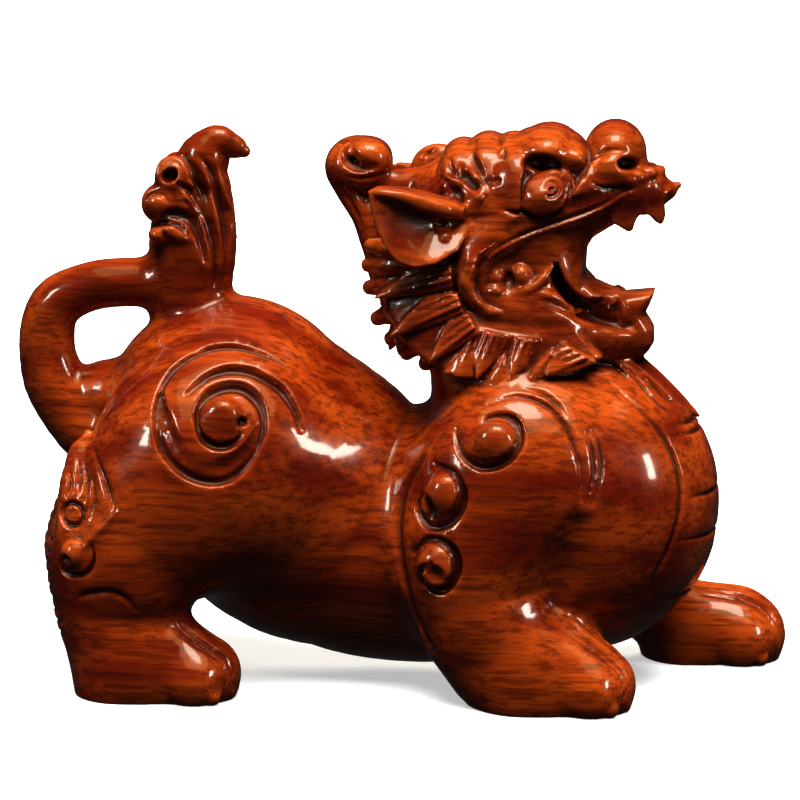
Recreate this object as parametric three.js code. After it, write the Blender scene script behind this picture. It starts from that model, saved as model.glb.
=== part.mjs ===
// A pixiu carved from one block of rosewood, in millimetres, +X ahead, +Y to its left, +Z up.
// The figure is worked out as a field of distances that its masses and cuts are blended into.
// That field is then turned into triangles, and thinned where the surface is plain.
import * as THREE from "three";
import { triTable } from "three/addons/objects/MarchingCubes.js";

// Driving sizes. HEIGHT is in millimetres, from the soles to the top of the nose.
const HEIGHT = 154;
const TRIANGLES = 9800;

// All that follows is in shares of the height, about a hundred of them.
const SOLE = 2; // level of the flat soles
const TOP = 98.6; // level of the top of the nose
const UNIT = HEIGHT / (TOP - SOLE);

// Pose: how far the left paws are ahead of and behind the right ones, and where the left ear sits
const FORE_STRIDE = 24;
const HIND_STRIDE = 9.5;
const FAR_EAR = [3, 0, 2.4];

// Carving
const GROOVE = 1.15; // radius of the round cut of a groove
const GROOVE_BLEND = 0.6; // how far its edges are rounded over
const TOE_GROOVE = 0.75; // radius of the cuts between the toes
const CURL_STEP = 14; // degrees between the points of a curl
const RUFF_CENTRE = [18.4, 75.1]; // x and z that the ruff's locks fan out from
const RUFF_LOCKS = 8; // in the front layer of the ruff, on each side
const NAPE_LOCKS = 5; // in each of the rows over the nape

// Field
const CELL = 0.9; // spacing of the grid
const FAR = 20; // the field's value far from the wood
const REACH = 4; // how far beyond its blend a form's distances are worked out
const STAND_OFF = 45; // how far off the wood a line starts before it is laid on
const PAW_STAND_OFF = 6; // the same for a line on a paw, which starts under the belly
const TOUCH = 0.02; // a line has met the wood at this distance
const FLAT = 0.25; // points this near the soles' level are on it

// Thinning
const MIDDLE_PULL = 0.001; // how far a joined point is drawn to the middle of its edge
const LENGTH_COST = 0.00002; // keeps long edges longest where the wood is plain
const LEAST_TURN = 0.3; // cosine of the most that a face may turn
const LEAST_HEIGHT = 0.06; // least height of a face, as a share of its longest edge

// Block of wood: the box that the field covers
const BLOCK_LOW = new THREE.Vector3(-70, -31, -4);
const BLOCK_HIGH = new THREE.Vector3(74, 31, 104);

const clamp = THREE.MathUtils.clamp;
const rad = THREE.MathUtils.degToRad;

// Fields

// A grid of distances to the surface, negative in the wood.
class Block {
  constructor(low, high, cell) {
    this.low = low;
    this.cell = cell;
    this.nx = Math.ceil((high.x - low.x) / cell) + 1;
    this.ny = Math.ceil((high.y - low.y) / cell) + 1;
    this.nz = Math.ceil((high.z - low.z) / cell) + 1;
    this.field = new Float32Array(this.nx * this.ny * this.nz).fill(FAR);
  }

  index(i, j, k) {
    return (k * this.ny + j) * this.nx + i;
  }

  // Replaces each value within reach of the form by change(value, distance to the form).
  visit(form, reach, change) {
    const { low, cell } = this;
    const first = (a, o) => Math.max(0, Math.floor((a - reach - o) / cell));
    const last = (b, o, n) => Math.min(n - 1, Math.ceil((b + reach - o) / cell));
    const i0 = first(form.box.min.x, low.x);
    const i1 = last(form.box.max.x, low.x, this.nx);
    const j0 = first(form.box.min.y, low.y);
    const j1 = last(form.box.max.y, low.y, this.ny);
    const k0 = first(form.box.min.z, low.z);
    const k1 = last(form.box.max.z, low.z, this.nz);
    for (let k = k0; k <= k1; k++)
      for (let j = j0; j <= j1; j++)
        for (let i = i0; i <= i1; i++) {
          const at = this.index(i, j, k);
          const d = form.distance(low.x + i * cell, low.y + j * cell, low.z + k * cell);
          this.field[at] = change(this.field[at], d);
        }
  }

  // Joins a form to the wood, with a fillet of about the blend's size.
  add(form, blend = 0, reach = blend + REACH) {
    this.visit(form, reach, (a, b) => smoothMin(a, b, blend));
  }

  // Cuts a form out of the wood.
  cut(form, blend = 0) {
    this.visit(form, blend + REACH, (a, b) => -smoothMin(-a, b, blend));
  }

  // The field between the grid's points.
  value(x, y, z) {
    const u = clamp((x - this.low.x) / this.cell, 0, this.nx - 1.001);
    const v = clamp((y - this.low.y) / this.cell, 0, this.ny - 1.001);
    const w = clamp((z - this.low.z) / this.cell, 0, this.nz - 1.001);
    const [i, j, k] = [Math.floor(u), Math.floor(v), Math.floor(w)];
    const [a, b, c] = [u - i, v - j, w - k];
    const row = (jj, kk) => {
      const at = this.index(i, jj, kk);
      return this.field[at] * (1 - a) + this.field[at + 1] * a;
    };
    const low = row(j, k) * (1 - b) + row(j + 1, k) * b;
    const high = row(j, k + 1) * (1 - b) + row(j + 1, k + 1) * b;
    return low * (1 - c) + high * c;
  }

  // Where a line that comes in along a direction first meets the wood.
  surface(from, direction, longest = 2 * STAND_OFF) {
    const p = from.clone();
    for (let gone = 0; gone < longest; ) {
      const d = this.value(p.x, p.y, p.z);
      if (d < TOUCH) return p;
      const step = clamp(d * 0.5, 0.05, 2);
      p.addScaledVector(direction, step);
      gone += step;
    }
    throw new Error("a carved line misses the wood");
  }
}

function smoothMin(a, b, k) {
  if (k <= 0) return Math.min(a, b);
  const h = Math.max(k - Math.abs(a - b), 0) / k;
  return Math.min(a, b) - h * h * k * 0.25;
}

// Forms: each has a box that holds it, and a distance to its surface.

// An ellipsoid, turned by degrees about Y (pitch), then Z (yaw), then X (roll).
function lump([cx, cy, cz], [rx, ry, rz], [pitch, yaw, roll] = [0, 0, 0]) {
  const turn = new THREE.Matrix4().makeRotationFromEuler(
    new THREE.Euler(rad(roll), rad(pitch), rad(yaw), "XZY"),
  );
  const m = turn.clone().invert().elements;
  const big = Math.max(rx, ry, rz);
  return {
    box: new THREE.Box3(
      new THREE.Vector3(cx - big, cy - big, cz - big),
      new THREE.Vector3(cx + big, cy + big, cz + big),
    ),
    distance(x, y, z) {
      const [a, b, c] = [x - cx, y - cy, z - cz];
      const u = (m[0] * a + m[4] * b + m[8] * c) / rx;
      const v = (m[1] * a + m[5] * b + m[9] * c) / ry;
      const w = (m[2] * a + m[6] * b + m[10] * c) / rz;
      const near = Math.hypot(u, v, w);
      const slope = Math.hypot(u / rx, v / ry, w / rz);
      return slope < 1e-6 ? -Math.min(rx, ry, rz) : (near * (near - 1)) / slope;
    },
  };
}

// A tube of changing radius through points [x, y, z, radius]. With flat = [direction, share], its
// thickness along that direction is only that share of its width.
function limb(points, { steps = 4, flat = null } = {}) {
  const path = smoothPath(points, steps);
  const [fx, fy, fz] = flat ? new THREE.Vector3(...flat[0]).normalize().toArray() : [0, 0, 0];
  const stretch = flat ? 1 / flat[1] - 1 : 0;
  const shrink = flat ? Math.max(flat[1], 0.6) : 1;
  return {
    box: boxOf(path),
    distance(x, y, z) {
      let best = Infinity;
      for (let n = 0; n + 1 < path.length; n++) {
        const p = path[n];
        const q = path[n + 1];
        const [dx, dy, dz] = [q[0] - p[0], q[1] - p[1], q[2] - p[2]];
        const long = dx * dx + dy * dy + dz * dz;
        const t = clamp(((x - p[0]) * dx + (y - p[1]) * dy + (z - p[2]) * dz) / long, 0, 1);
        let [a, b, c] = [x - p[0] - t * dx, y - p[1] - t * dy, z - p[2] - t * dz];
        const along = (a * fx + b * fy + c * fz) * stretch;
        a += along * fx;
        b += along * fy;
        c += along * fz;
        const d = Math.hypot(a, b, c) - (p[3] + t * (q[3] - p[3]));
        if (d < best) best = d;
      }
      return best * shrink;
    },
  };
}

// Points [x, y, z, radius] on a smooth curve through the given ones.
function smoothPath(points, steps) {
  const centres = new THREE.CatmullRomCurve3(
    points.map((p) => new THREE.Vector3(p[0], p[1], p[2])),
    false,
    "centripetal",
  );
  const count = (points.length - 1) * steps;
  return Array.from({ length: count + 1 }, (_, n) => {
    const s = (n / count) * (points.length - 1);
    const i = Math.min(Math.floor(s), points.length - 2);
    const t = s - i;
    const c = centres.getPoint(n / count);
    const ease = t * t * (3 - 2 * t);
    return [c.x, c.y, c.z, points[i][3] * (1 - ease) + points[i + 1][3] * ease];
  });
}

function boxOf(path) {
  const box = new THREE.Box3();
  for (const [x, y, z, r] of path) {
    box.expandByPoint(new THREE.Vector3(x - r, y - r, z - r));
    box.expandByPoint(new THREE.Vector3(x + r, y + r, z + r));
  }
  return box;
}

// A plate across the figure: an outline of [x, z] points, thick by 2 * half about the plane
// y = middle(x). A margin draws the outline in.
function plate(outline, middle, half, margin = 0) {
  const xs = outline.map((p) => p[0]);
  const zs = outline.map((p) => p[1]);
  const [x0, x1] = [Math.min(...xs), Math.max(...xs)];
  const ys = [middle(x0), middle(x1)];
  return {
    box: new THREE.Box3(
      new THREE.Vector3(x0, Math.min(...ys) - half, Math.min(...zs)),
      new THREE.Vector3(x1, Math.max(...ys) + half, Math.max(...zs)),
    ),
    distance(x, y, z) {
      let near = Infinity;
      let inside = false;
      outline.forEach(([ax, az], n) => {
        const [bx, bz] = outline[(n + 1) % outline.length];
        const [ex, ez] = [bx - ax, bz - az];
        const t = clamp(((x - ax) * ex + (z - az) * ez) / (ex * ex + ez * ez), 0, 1);
        near = Math.min(near, Math.hypot(x - ax - t * ex, z - az - t * ez));
        if (az > z !== bz > z && x < ax + ((z - az) / ez) * ex) inside = !inside;
      });
      return Math.max((inside ? -near : near) + margin, Math.abs(y - middle(x)) - half);
    },
  };
}

// A rounded disc across the figure, an ellipse with radii [rx, rz] about [cx, cz].
function disc([cx, cz], [rx, rz], half, round) {
  return {
    box: new THREE.Box3(
      new THREE.Vector3(cx - rx, -half, cz - rz),
      new THREE.Vector3(cx + rx, half, cz + rz),
    ),
    distance(x, y, z) {
      const out = (Math.hypot((x - cx) / rx, (z - cz) / rz) - 1) * Math.min(rx, rz) + round;
      const over = Math.abs(y) - half + round;
      return Math.min(Math.max(out, over), 0) + Math.hypot(Math.max(out, 0), Math.max(over, 0)) - round;
    },
  };
}

// The lower half of space, under a level.
function ground(level) {
  const wide = 200;
  return {
    box: new THREE.Box3(
      new THREE.Vector3(-wide, -wide, level - wide),
      new THREE.Vector3(wide, wide, level),
    ),
    distance: (x, y, z) => z - level,
  };
}

// A pointed, leaf-like lock of hair from root to tip, with a ridge that faces out.
function lock(root, tip, out, width, thick) {
  const a = new THREE.Vector3(...root);
  const b = new THREE.Vector3(...tip);
  const axis = b.clone().sub(a);
  const long = axis.length();
  axis.divideScalar(long);
  const side = new THREE.Vector3(...out).cross(axis).normalize();
  const up = axis.clone().cross(side);
  const box = new THREE.Box3().setFromPoints([a, b]).expandByScalar(width);
  return {
    box,
    distance(x, y, z) {
      const [dx, dy, dz] = [x - a.x, y - a.y, z - a.z];
      const t = (dx * axis.x + dy * axis.y + dz * axis.z) / long;
      const s = clamp(t, -0.2, 1);
      const along = clamp(s, 0, 1);
      const half = 0.1 + width * Math.min(1, 0.42 + 1.1 * along) * Math.pow(1 - along ** 2.2, 0.9);
      const deep = 0.2 + thick * Math.pow(1 - along ** 3, 0.7);
      const u = Math.abs(dx * side.x + dy * side.y + dz * side.z);
      const v = Math.abs(dx * up.x + dy * up.y + dz * up.z);
      const e = (t - s) * long;
      const flat = (u / half + v / deep - 1) * Math.min(half, deep) * 0.8;
      return e === 0 ? flat : Math.hypot(Math.max(flat, 0), e);
    },
  };
}

// The figure's parts, in hundredths of its height. Its right side is at -Y. Points of a pair are
// given for the left side, and mirrored for the right one.

const RIGHT = -1;
const LEFT = 1;
const SIDES = [RIGHT, LEFT];

function mirrored(points, side) {
  return points.map(([x, y, ...rest]) => [x, y * side, ...rest]);
}

function moved(points, [dx, dy, dz]) {
  return points.map(([x, y, z, ...rest]) => [x + dx, y + dy, z + dz, ...rest]);
}

// Points [x, y, z] of a curl in an upright plane, from knots of [degrees, radius] about its centre.
function curl([cx, y, cz], knots) {
  const path = [];
  for (let n = 0; n + 1 < knots.length; n++) {
    const [a0, r0] = knots[n];
    const [a1, r1] = knots[n + 1];
    const count = Math.max(1, Math.ceil(Math.abs(a1 - a0) / CURL_STEP));
    for (let m = n === 0 ? 0 : 1; m <= count; m++) {
      const t = m / count;
      const turn = rad(a0 + (a1 - a0) * t);
      const r = r0 + (r1 - r0) * t;
      path.push([cx + r * Math.cos(turn), y, cz + r * Math.sin(turn)]);
    }
  }
  return path;
}

// A groove that follows points near the wood, laid on it from a direction. Its ends run out.
function engrave(block, points, direction, width, depth, steps = 1, standOff = STAND_OFF) {
  const toward = new THREE.Vector3(...direction).normalize();
  const path = smoothPath(
    points.map(([x, y, z]) => [x, y, z, width]),
    steps,
  ).map(([x, y, z], n, all) => {
    const from = new THREE.Vector3(x, y, z).addScaledVector(toward, -standOff);
    const on = block.surface(from, toward);
    const fromEnd = Math.min(n, all.length - 1 - n) / Math.max(1, Math.min(3, all.length / 3));
    const share = Math.min(1, 0.35 + 0.65 * fromEnd);
    on.addScaledVector(toward, depth * share - width * share);
    return [on.x, on.y, on.z, width * share];
  });
  block.cut(limb(path, { steps: 1 }), GROOVE_BLEND);
}

function carveTorso(block) {
  const barrel = [
    [-28.5, 0, 43, 24.4],
    [-17, 0, 32.7, 25.7],
    [-8.5, 0, 28, 22.7],
    [0.5, 0, 26.9, 22.4],
    [16, 0, 27.6, 22],
    [30, 0, 31.5, 22],
  ];
  block.add(limb(barrel, { flat: [[0, 1, 0], 0.74] }), 0, 14);
  block.add(lump([31.5, 0, 33.5], [22.4, 20, 25]), 6, 14);
  for (const side of SIDES) block.add(lump([-28, 12 * side, 42], [17, 11.5, 16.6]), 8, 14);
}

// A paw from heel to toes, with toes parted by grooves
function carvePaw(block, heel, toes, y) {
  const paw = [
    [heel + 9.8, y, 7, 9.8],
    [heel + 15.4, y, 7, 9],
    [toes - 6.2, y, 6, 6.2],
  ];
  block.add(limb(paw, { flat: [[0, 1, 0], 0.78] }), 3);
  block.add(lump([toes - 6.6, y, 6.2], [6.6, 7.6, 5.8]), 2);
  for (const share of [-0.76, -0.26, 0.26, 0.76])
    block.add(lump([toes - 2 - share * share, y + share * 6.4, 4.4], [2.4, 1.9, 2.3]), 0.8);
  for (const share of [-0.52, 0, 0.52]) {
    const line = [];
    for (let n = 0; n <= 6; n++) {
      const t = n / 6;
      line.push([toes - 11 + 10.6 * t, y + share * (4.6 + 1.9 * t), 9 - 4 * t]);
    }
    engrave(block, line, [-0.6, 0, -1], TOE_GROOVE, TOE_GROOVE * 1.1, 2, PAW_STAND_OFF);
  }
}

function carveForelegs(block) {
  for (const side of SIDES) {
    block.add(lump([21, 12.5 * side, 41], [14, 9.5, 15]), 7, 12);
    const reach = side === LEFT ? FORE_STRIDE : 0;
    const leg = [
      [17, 14 * side, 38, 12.5],
      [14.4 + reach * 0.55, 15.8 * side, 29, 12],
      [14.8 + reach * 0.9, 16.6 * side, 19.6, 10.4],
      [22 + reach, 16.8 * side, 12, 9],
    ];
    block.add(limb(leg, { flat: [[0, 1, 0], 0.76] }), 5, 10);
    carvePaw(block, 14.8 + reach, 41.4 + reach, 16.8 * side);
  }
}

function carveHindlegs(block) {
  for (const side of SIDES) {
    const reach = side === LEFT ? -HIND_STRIDE : 0;
    const leg = [
      [-34, 14 * side, 38, 17.5],
      [-42.4 + reach * 0.4, 16.5 * side, 27, 14.6],
      [-45 + reach, 17.6 * side, 18, 11.4],
      [-43.6 + reach, 17.8 * side, 11, 9.2],
    ];
    block.add(limb(leg, { flat: [[0, 1, 0], 0.66] }), 6, 10);
    carvePaw(block, -53 + reach, -25 + reach, 17.8 * side);
  }
}

function carveTail(block) {
  const tail = [
    [-44, 0, 38, 6.5],
    [-52, 0, 43, 6.4],
    [-58.6, 0, 50.5, 5.5],
    [-60.6, 0, 58, 4.8],
    [-59, 0, 65, 4.5],
    [-53, 0, 68.4, 4.2],
    [-45, 0, 69.4, 4.2],
    [-37, 0, 69, 5],
  ];
  block.add(limb(tail, { flat: [[0, 1, 0], 0.92] }), 3);
  block.add(lump([-49.6, 0, 50.4], [6.4, 5, 5.4]), 2);
  const tuft = [
    [-35.5, 0, 66, 6.6],
    [-35.5, 0, 76, 8],
    [-35, 0, 84, 6.6],
    [-33.6, 0, 89.6, 4.6],
    [-31, 0, 93.8, 3],
    [-26.4, 0, 94.8, 0.8],
  ];
  block.add(limb(tuft, { flat: [[0, 1, 0], 0.72] }), 2);
  for (const side of SIDES) {
    block.add(lump([-39.2, 2 * side, 88.2], [2.9, 2.9, 2.9]), 0.8);
    block.add(lump([-41.2, 2.6 * side, 83.6], [3.2, 3.4, 3.2]), 0.8);
    block.add(lump([-39.4, 3.4 * side, 78.6], [3.6, 3, 2.4], [20, 0, 0]), 0.8);
    const facing = [0, -side, 0];
    const knob = [-40.6, 0, 83.8];
    engrave(block, curl(knob, [[150, 2.6], [60, 2.1], [-30, 2.2], [-110, 1.9]]), facing, 0.8, 1);
    const strands = [
      [[-36, 0, 91], [-33.8, 0, 88.5], [-31.4, 0, 84.5], [-30.2, 0, 78]],
      [[-36.5, 0, 86], [-34.4, 0, 83.6], [-32.4, 0, 79.6], [-31.8, 0, 73]],
      [[-37.4, 0, 80.6], [-35, 0, 77.6], [-33.6, 0, 73], [-33.4, 0, 68]],
    ];
    for (const strand of strands) engrave(block, strand, facing, 0.9, 1, 4);
  }
}

// Curls and long grooves cut in the haunches and shoulders
function carveSpirals(block) {
  for (const side of SIDES) {
    const facing = [0, -side, 0];
    const haunch = [
      [38, 13.1], [90, 11.7], [182, 11.6], [243, 10.1], [322, 7.6], [384, 6.6], [448, 5.2],
      [525, 4.7], [627, 4.4], [692, 4.2], [722, 3],
    ];
    const rim = [[-4, 12.9], [9, 11.2], [29, 10], [49, 8.8], [75, 8], [121, 7.6], [176, 7.2]];
    engrave(block, curl([-25.4, 0, 51.2], haunch), facing, GROOVE, GROOVE * 1.15);
    engrave(block, curl([-25.4, 0, 51.2], rim), facing, GROOVE * 0.8, GROOVE * 0.9);
    const curls = [
      [[19.1, 0, 48.6], [[170, 6.6], [210, 5.2], [247, 4.8], [353, 4.2], [431, 3.9], [500, 3.1]], 4.4],
      [[10.7, 0, 39.2], [[105, 5.6], [24, 4.3], [-40, 4.3], [-79, 4.1], [-140, 3.1], [-185, 1.8]], 4.2],
      [[9.9, 0, 27.4], [[190, 4.5], [94, 4.6], [15, 4.2], [-83, 4.2], [-140, 3.2], [-190, 2.4]], 4.2],
    ];
    for (const [[x, , z], knots, size] of curls) {
      const on = block.surface(new THREE.Vector3(x, 40 * side, z), new THREE.Vector3(0, -side, 0));
      block.add(lump([x, on.y - side * 0.6, z], [size, 2, size]), 1.6);
      engrave(block, curl([x, 0, z], knots), facing, GROOVE, GROOVE * 1.25);
    }
    const lines = [
      [
        [17.8, 0, 53.9], [21.6, 0, 55.2], [25.4, 0, 54.7], [29.1, 0, 52.3], [32.1, 0, 48.4],
        [33.6, 0, 44], [33.9, 0, 39],
      ],
      [[34.7, 0, 49.8], [36, 0, 46.9], [36.2, 0, 43.6], [34.9, 0, 39]],
      [[7.6, 0, 46], [5, 0, 41.6], [3.9, 0, 36], [4, 0, 30], [4.6, 0, 24], [6, 0, 19], [9, 0, 13]],
    ];
    for (const line of lines) engrave(block, line, facing, GROOVE * 0.75, GROOVE * 0.8, 3);
    carvePlume(block, side);
  }
}

// The tuft of hair up the back of each hind leg, with a ring and a curl
function carvePlume(block, side) {
  const reach = side === LEFT ? -HIND_STRIDE * 0.4 : 0;
  const plume = [[-49.6, 11, 46, 0.8], [-50.4, 14, 40, 3.8], [-50.4, 15.5, 33, 5.2], [-51, 16.4, 26, 4.4]];
  block.add(limb(moved(mirrored(plume, side), [reach, 0, 0]), { flat: [[0, 1, 0], 0.6] }), 1);
  const facing = [0.35, -side, 0];
  const ring = curl([-52.2 + reach, 0, 32.4], [[0, 1.9], [360, 1.9]]);
  const ball = curl([-52 + reach, 0, 26.2], [[40, 3], [150, 2.8], [260, 2.8], [340, 2.6]]);
  engrave(block, ring, facing, GROOVE * 0.6, GROOVE * 0.8);
  engrave(block, ball, facing, GROOVE * 0.7, GROOVE * 0.9);
}

function carveNeck(block) {
  const neck = [[24, 0, 44, 16], [20, 0, 54, 14.5], [16, 0, 64, 13.5], [14.5, 0, 74, 12]];
  block.add(limb(neck), 5);
}

function carveHead(block) {
  block.add(lump([14.5, 0, 84], [12.5, 10.6, 10]), 3);
  block.add(lump([22, 0, 82], [13, 10.2, 11]), 2);
  const snout = [[22, 0, 84.5, 10], [30, 0, 86, 8.4], [36.5, 0, 87, 6.8], [41.5, 0, 87, 4.6]];
  block.add(limb(snout), 3);
  block.add(lump([36.4, 0, 93], [5.2, 6.4, 5.6]), 1.2);
  block.add(limb([[41.5, 0, 86.6, 3.6], [44.5, 0, 86.6, 2], [46.9, 0, 87.7, 0.6]]), 1);
  const jaw = [[13, 0, 69, 9.8], [23, 0, 67.5, 8.2], [32, 0, 64.4, 6.6], [39.4, 0, 62.4, 4.6]];
  block.add(limb(jaw), 3);
  const mouth = [
    [31.8, 77], [31.4, 72.6], [33.6, 70.2], [37, 69.5], [43.6, 69.7], [60, 66],
    [60, 88], [44.4, 84.4], [40, 83.4], [36, 81], [33.2, 79.4],
  ];
  block.cut(plate(mouth, () => 0, 30), 0.6);
  block.add(limb([[26, 0, 71.5, 3.6], [33, 0, 68, 3.6], [38.5, 0, 67, 2.4]]), 0.6);
  block.add(limb([[38, 0, 65, 4.2], [42, 0, 68.4, 2], [43.7, 0, 69.9, 0.5]]), 1);
  block.add(lump([39.6, 0, 61.4], [3.7, 5, 3.6]), 1.5);
  for (const side of SIDES) carveFace(block, side);
}

function carveFace(block, side) {
  const roll = (points, blend = 0.8, options = {}) =>
    block.add(limb(mirrored(points, side), options), blend);
  const ball = ([x, y, z], radii, blend = 0.6, turn = [0, 0, 0]) =>
    block.add(lump([x, y * side, z], radii, turn), blend);
  const hollow = ([x, y, z], radii, turn = [0, 0, 0]) =>
    block.cut(lump([x, y * side, z], radii, turn), 0.5);

  // Cheek and jaw, one long roll in the shape of a C
  roll([
    [22, 9.6, 84.4, 1.8], [18, 10.4, 83.8, 2.4], [14.6, 10.9, 81.2, 2.9], [12.7, 11.2, 77.6, 3.1],
    [12.9, 11.2, 73.6, 3.2], [14.8, 11, 69.6, 3.2], [18.6, 10.6, 67, 3.3], [24.4, 9.4, 66, 3.6],
    [30, 7.8, 64.4, 3.8], [35.4, 5.6, 61.6, 3.4],
  ]);
  // Lip of the upper jaw, and the groove over it
  roll([
    [42.6, 3, 86.2, 1.2], [38.6, 5.4, 85.6, 1.5], [32.6, 8, 83.4, 1.6], [27.2, 9.6, 80.8, 1.7],
    [21.8, 10.8, 79, 1.8], [17.2, 11.6, 77, 1.7], [15.8, 11.8, 74.4, 1.2],
  ]);
  const crease = [[33, 7.6, 85.2], [28, 9, 82.8], [23.2, 10, 81], [19.2, 10.6, 79.4], [16, 11, 76.6]];
  engrave(block, mirrored(crease, side), [0, -side, 0], 1, 1.2, 3);
  hollow([22.4, 12.4, 75.6], [5.4, 2.6, 2.8], [12, 0, 0]);
  // Lip of the lower jaw
  roll([
    [24, 9.6, 71.4, 1.4], [27, 9.4, 70.4, 1.5], [30, 8.8, 68.6, 1.6], [34, 7.4, 66.2, 1.8],
    [39, 5.4, 63.8, 1.8],
  ]);
  // Roll under the eye, on up the muzzle to the nose
  roll([
    [17, 10.6, 85.2, 1.2], [21.4, 10.8, 83.6, 1.8], [25.8, 10.2, 83, 1.9], [29.2, 9, 84.6, 2],
    [31.2, 8, 87, 2.1], [33, 6.6, 90, 1.9],
  ], 0.6);
  // Brow, and the strap that comes down behind the eye
  roll([[20.6, 5.4, 94, 2.2], [24.2, 6.2, 94.8, 2.7], [28, 6.2, 93.6, 2.5], [30.4, 5.6, 91.6, 1.6]]);
  roll([[19.6, 4.8, 95.4, 1.9], [19.8, 7.6, 93.2, 2.1], [20.2, 9, 90, 2], [21, 9.6, 86.8, 1.8]], 0.5);
  hollow([25.4, 10.4, 91.2], [3, 2.4, 1.5]);
  hollow([17, 9.6, 90.4], [1.1, 2.6, 1.8], [-25, 0, 0]);
  // Eye in its lids
  ball([26.4, 8.2, 88], [3.4, 3, 3.2], 0.3);
  roll([
    [22.4, 9.8, 87.4, 0.7], [23.2, 10, 90, 0.8], [26.2, 10, 91.5, 0.85], [29.4, 9.2, 90, 0.8],
    [30, 8.8, 87, 0.7],
  ], 0.3);
  // Nostril, its wing and the knobs of the whiskers
  ball([35, 5.2, 91.2], [2.9, 2.2, 2.7]);
  hollow([38.4, 6, 92], [1.5, 2, 0.8], [10, 0, 0]);
  ball([42.6, 2.6, 90.2], [1.6, 1.6, 1.4]);
  ball([40, 4.6, 89.6], [1.8, 1.6, 1.5]);
  // Teeth
  roll([[44.2, 2.8, 85, 1.3], [44.4, 3, 81.2, 0.35]], 0.4);
  roll([[40.4, 5, 84.6, 1.4], [39.6, 5.2, 81, 0.35]], 0.4);
  roll([[36.9, 6.2, 65.6, 1.5], [36.6, 6, 70.6, 0.4]], 0.4);
  // Corner of the mouth
  hollow([19.4, 11.4, 74], [1.7, 3, 1.6]);
  ball([22.2, 8.4, 73.6], [2, 1.8, 1.6]);
  ball([17.8, 10.2, 71.4], [2, 1.6, 1.5]);
  block.cut(limb(mirrored([[27, 8, 74, 0.7], [30, 6, 71, 1.3], [34.6, 4.8, 68.6, 1.6]], side)), 0.4);
  // Curls of hair over the temple
  ball([13.4, 7.2, 92.4], [2.6, 2.4, 2.4]);
  ball([9.4, 6.8, 91.2], [2.6, 2.6, 2.2]);
  ball([12.4, 9, 89], [2.4, 2, 2]);
  ball([16.6, 9.4, 86.6], [2.4, 1.9, 1.6]);
  carveEar(block, side);
}

function carveEar(block, side) {
  const [dx, , dz] = side === LEFT ? FAR_EAR : [0, 0, 0];
  const rim = [
    [-2.6, 88.4], [2.4, 88.3], [7, 87.4], [12.2, 85.6], [13, 81.5], [10.4, 77.4], [7, 75.4],
    [2.8, 76.6], [-0.4, 80], [-2, 84],
  ].map(([x, z]) => [x + dx, z + dz]);
  const lean = (x) => side * (15.2 - 0.38 * (x - dx + 2));
  block.add(plate(rim, lean, 2), 1);
  const outer = (x) => lean(x) + side * 2.4;
  block.cut(plate(rim, outer, 3, 1.5), 0.8);
  block.add(lump([9 + dx, lean(9 + dx) + side * 0.6, 79.4 + dz], [1.5, 1.5, 1.7]), 0.3);
}

// Crown of the head, and the horn with its curl
function carveCrown(block) {
  const crown = [
    [9, 0, 91.6, 2.2], [12, 0, 92.8, 2.3], [15.6, 0, 93.8, 2.5], [19.6, 0, 94, 2.8], [24.4, 0, 93.6, 2.8],
  ];
  for (const [x, y, z, r] of crown) block.add(lump([x, y, z], [r * 0.9, r * 1.5, r]), 0.5);
  const horn = [[12, 0, 87.6, 3.6], [5, 0, 87.2, 3], [-1, 0, 87.4, 2.4], [-5, 0, 88.4, 2.2]];
  block.add(limb(horn), 1.2);
  const strand = [
    [-1.5, 0, 72, 3.4], [-3.4, 0, 77, 2.8], [-5.6, 0, 82, 2.4], [-8.4, 0, 86.6, 2.4], [-9.4, 0, 90.4, 2.4],
  ];
  block.add(limb(strand, { flat: [[0, 1, 0], 1.35] }), 1);
  block.add(lump([-6.6, 0, 89.8], [5.7, 4.4, 5.4]), 0.8);
  for (const side of SIDES) {
    const whorl = [[-100, 4.3], [-20, 3.4], [60, 3.2], [150, 2.8], [230, 2.2], [300, 1.6]];
    engrave(block, curl([-5.8, 0, 90.4], whorl), [0, -side, 0], 0.9, 1.1);
  }
}

// Collar of pointed locks round the back of the cheeks, in two layers, and over the nape
function carveRuff(block) {
  block.add(disc([15, 71.4], [18, 14.6], 10.6, 5), 1.5);
  const layers = [
    { count: RUFF_LOCKS - 1, from: 186, to: 288, width: 4.4, thick: 2, deep: 1.8 },
    { count: RUFF_LOCKS, from: 177, to: 296, width: 4.8, thick: 2.6, deep: 0.4 },
  ];
  const [cx, cz] = RUFF_CENTRE;
  for (const side of SIDES)
    for (const { count, from, to, width, thick, deep } of layers)
      for (let n = 0; n < count; n++) {
        const turn = rad(from + ((to - from) * n) / (count - 1));
        const [dx, dz] = [Math.cos(turn), Math.sin(turn)];
        const far = 19 + 4.4 * Math.abs(dx);
        const under = Math.max(0, -dz) ** 2;
        const tip = [cx + far * dx, (10.6 - deep * 1.4 + 5.4 * under) * side, cz + far * dz];
        const root = [cx + 10 * dx, (11.2 - deep + 1.4 * under) * side, cz + 10 * dz];
        block.add(lock(root, tip, [0, side, 0], width, thick), 0.35);
      }
  for (let n = 0; n < NAPE_LOCKS; n++) {
    const share = (n / (NAPE_LOCKS - 1)) * 2 - 1;
    for (const [x, z] of [[-1.6, 62.4], [-3, 70], [-3, 77.6]]) {
      const root = [x + 4, 7 * share, z + 6];
      const tip = [x + 3 * share * share, 9 * share, z - 3];
      block.add(lock(root, tip, [-1, share * 0.5, 0.2], 3.4, 1.6), 0.35);
    }
  }
}

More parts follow.
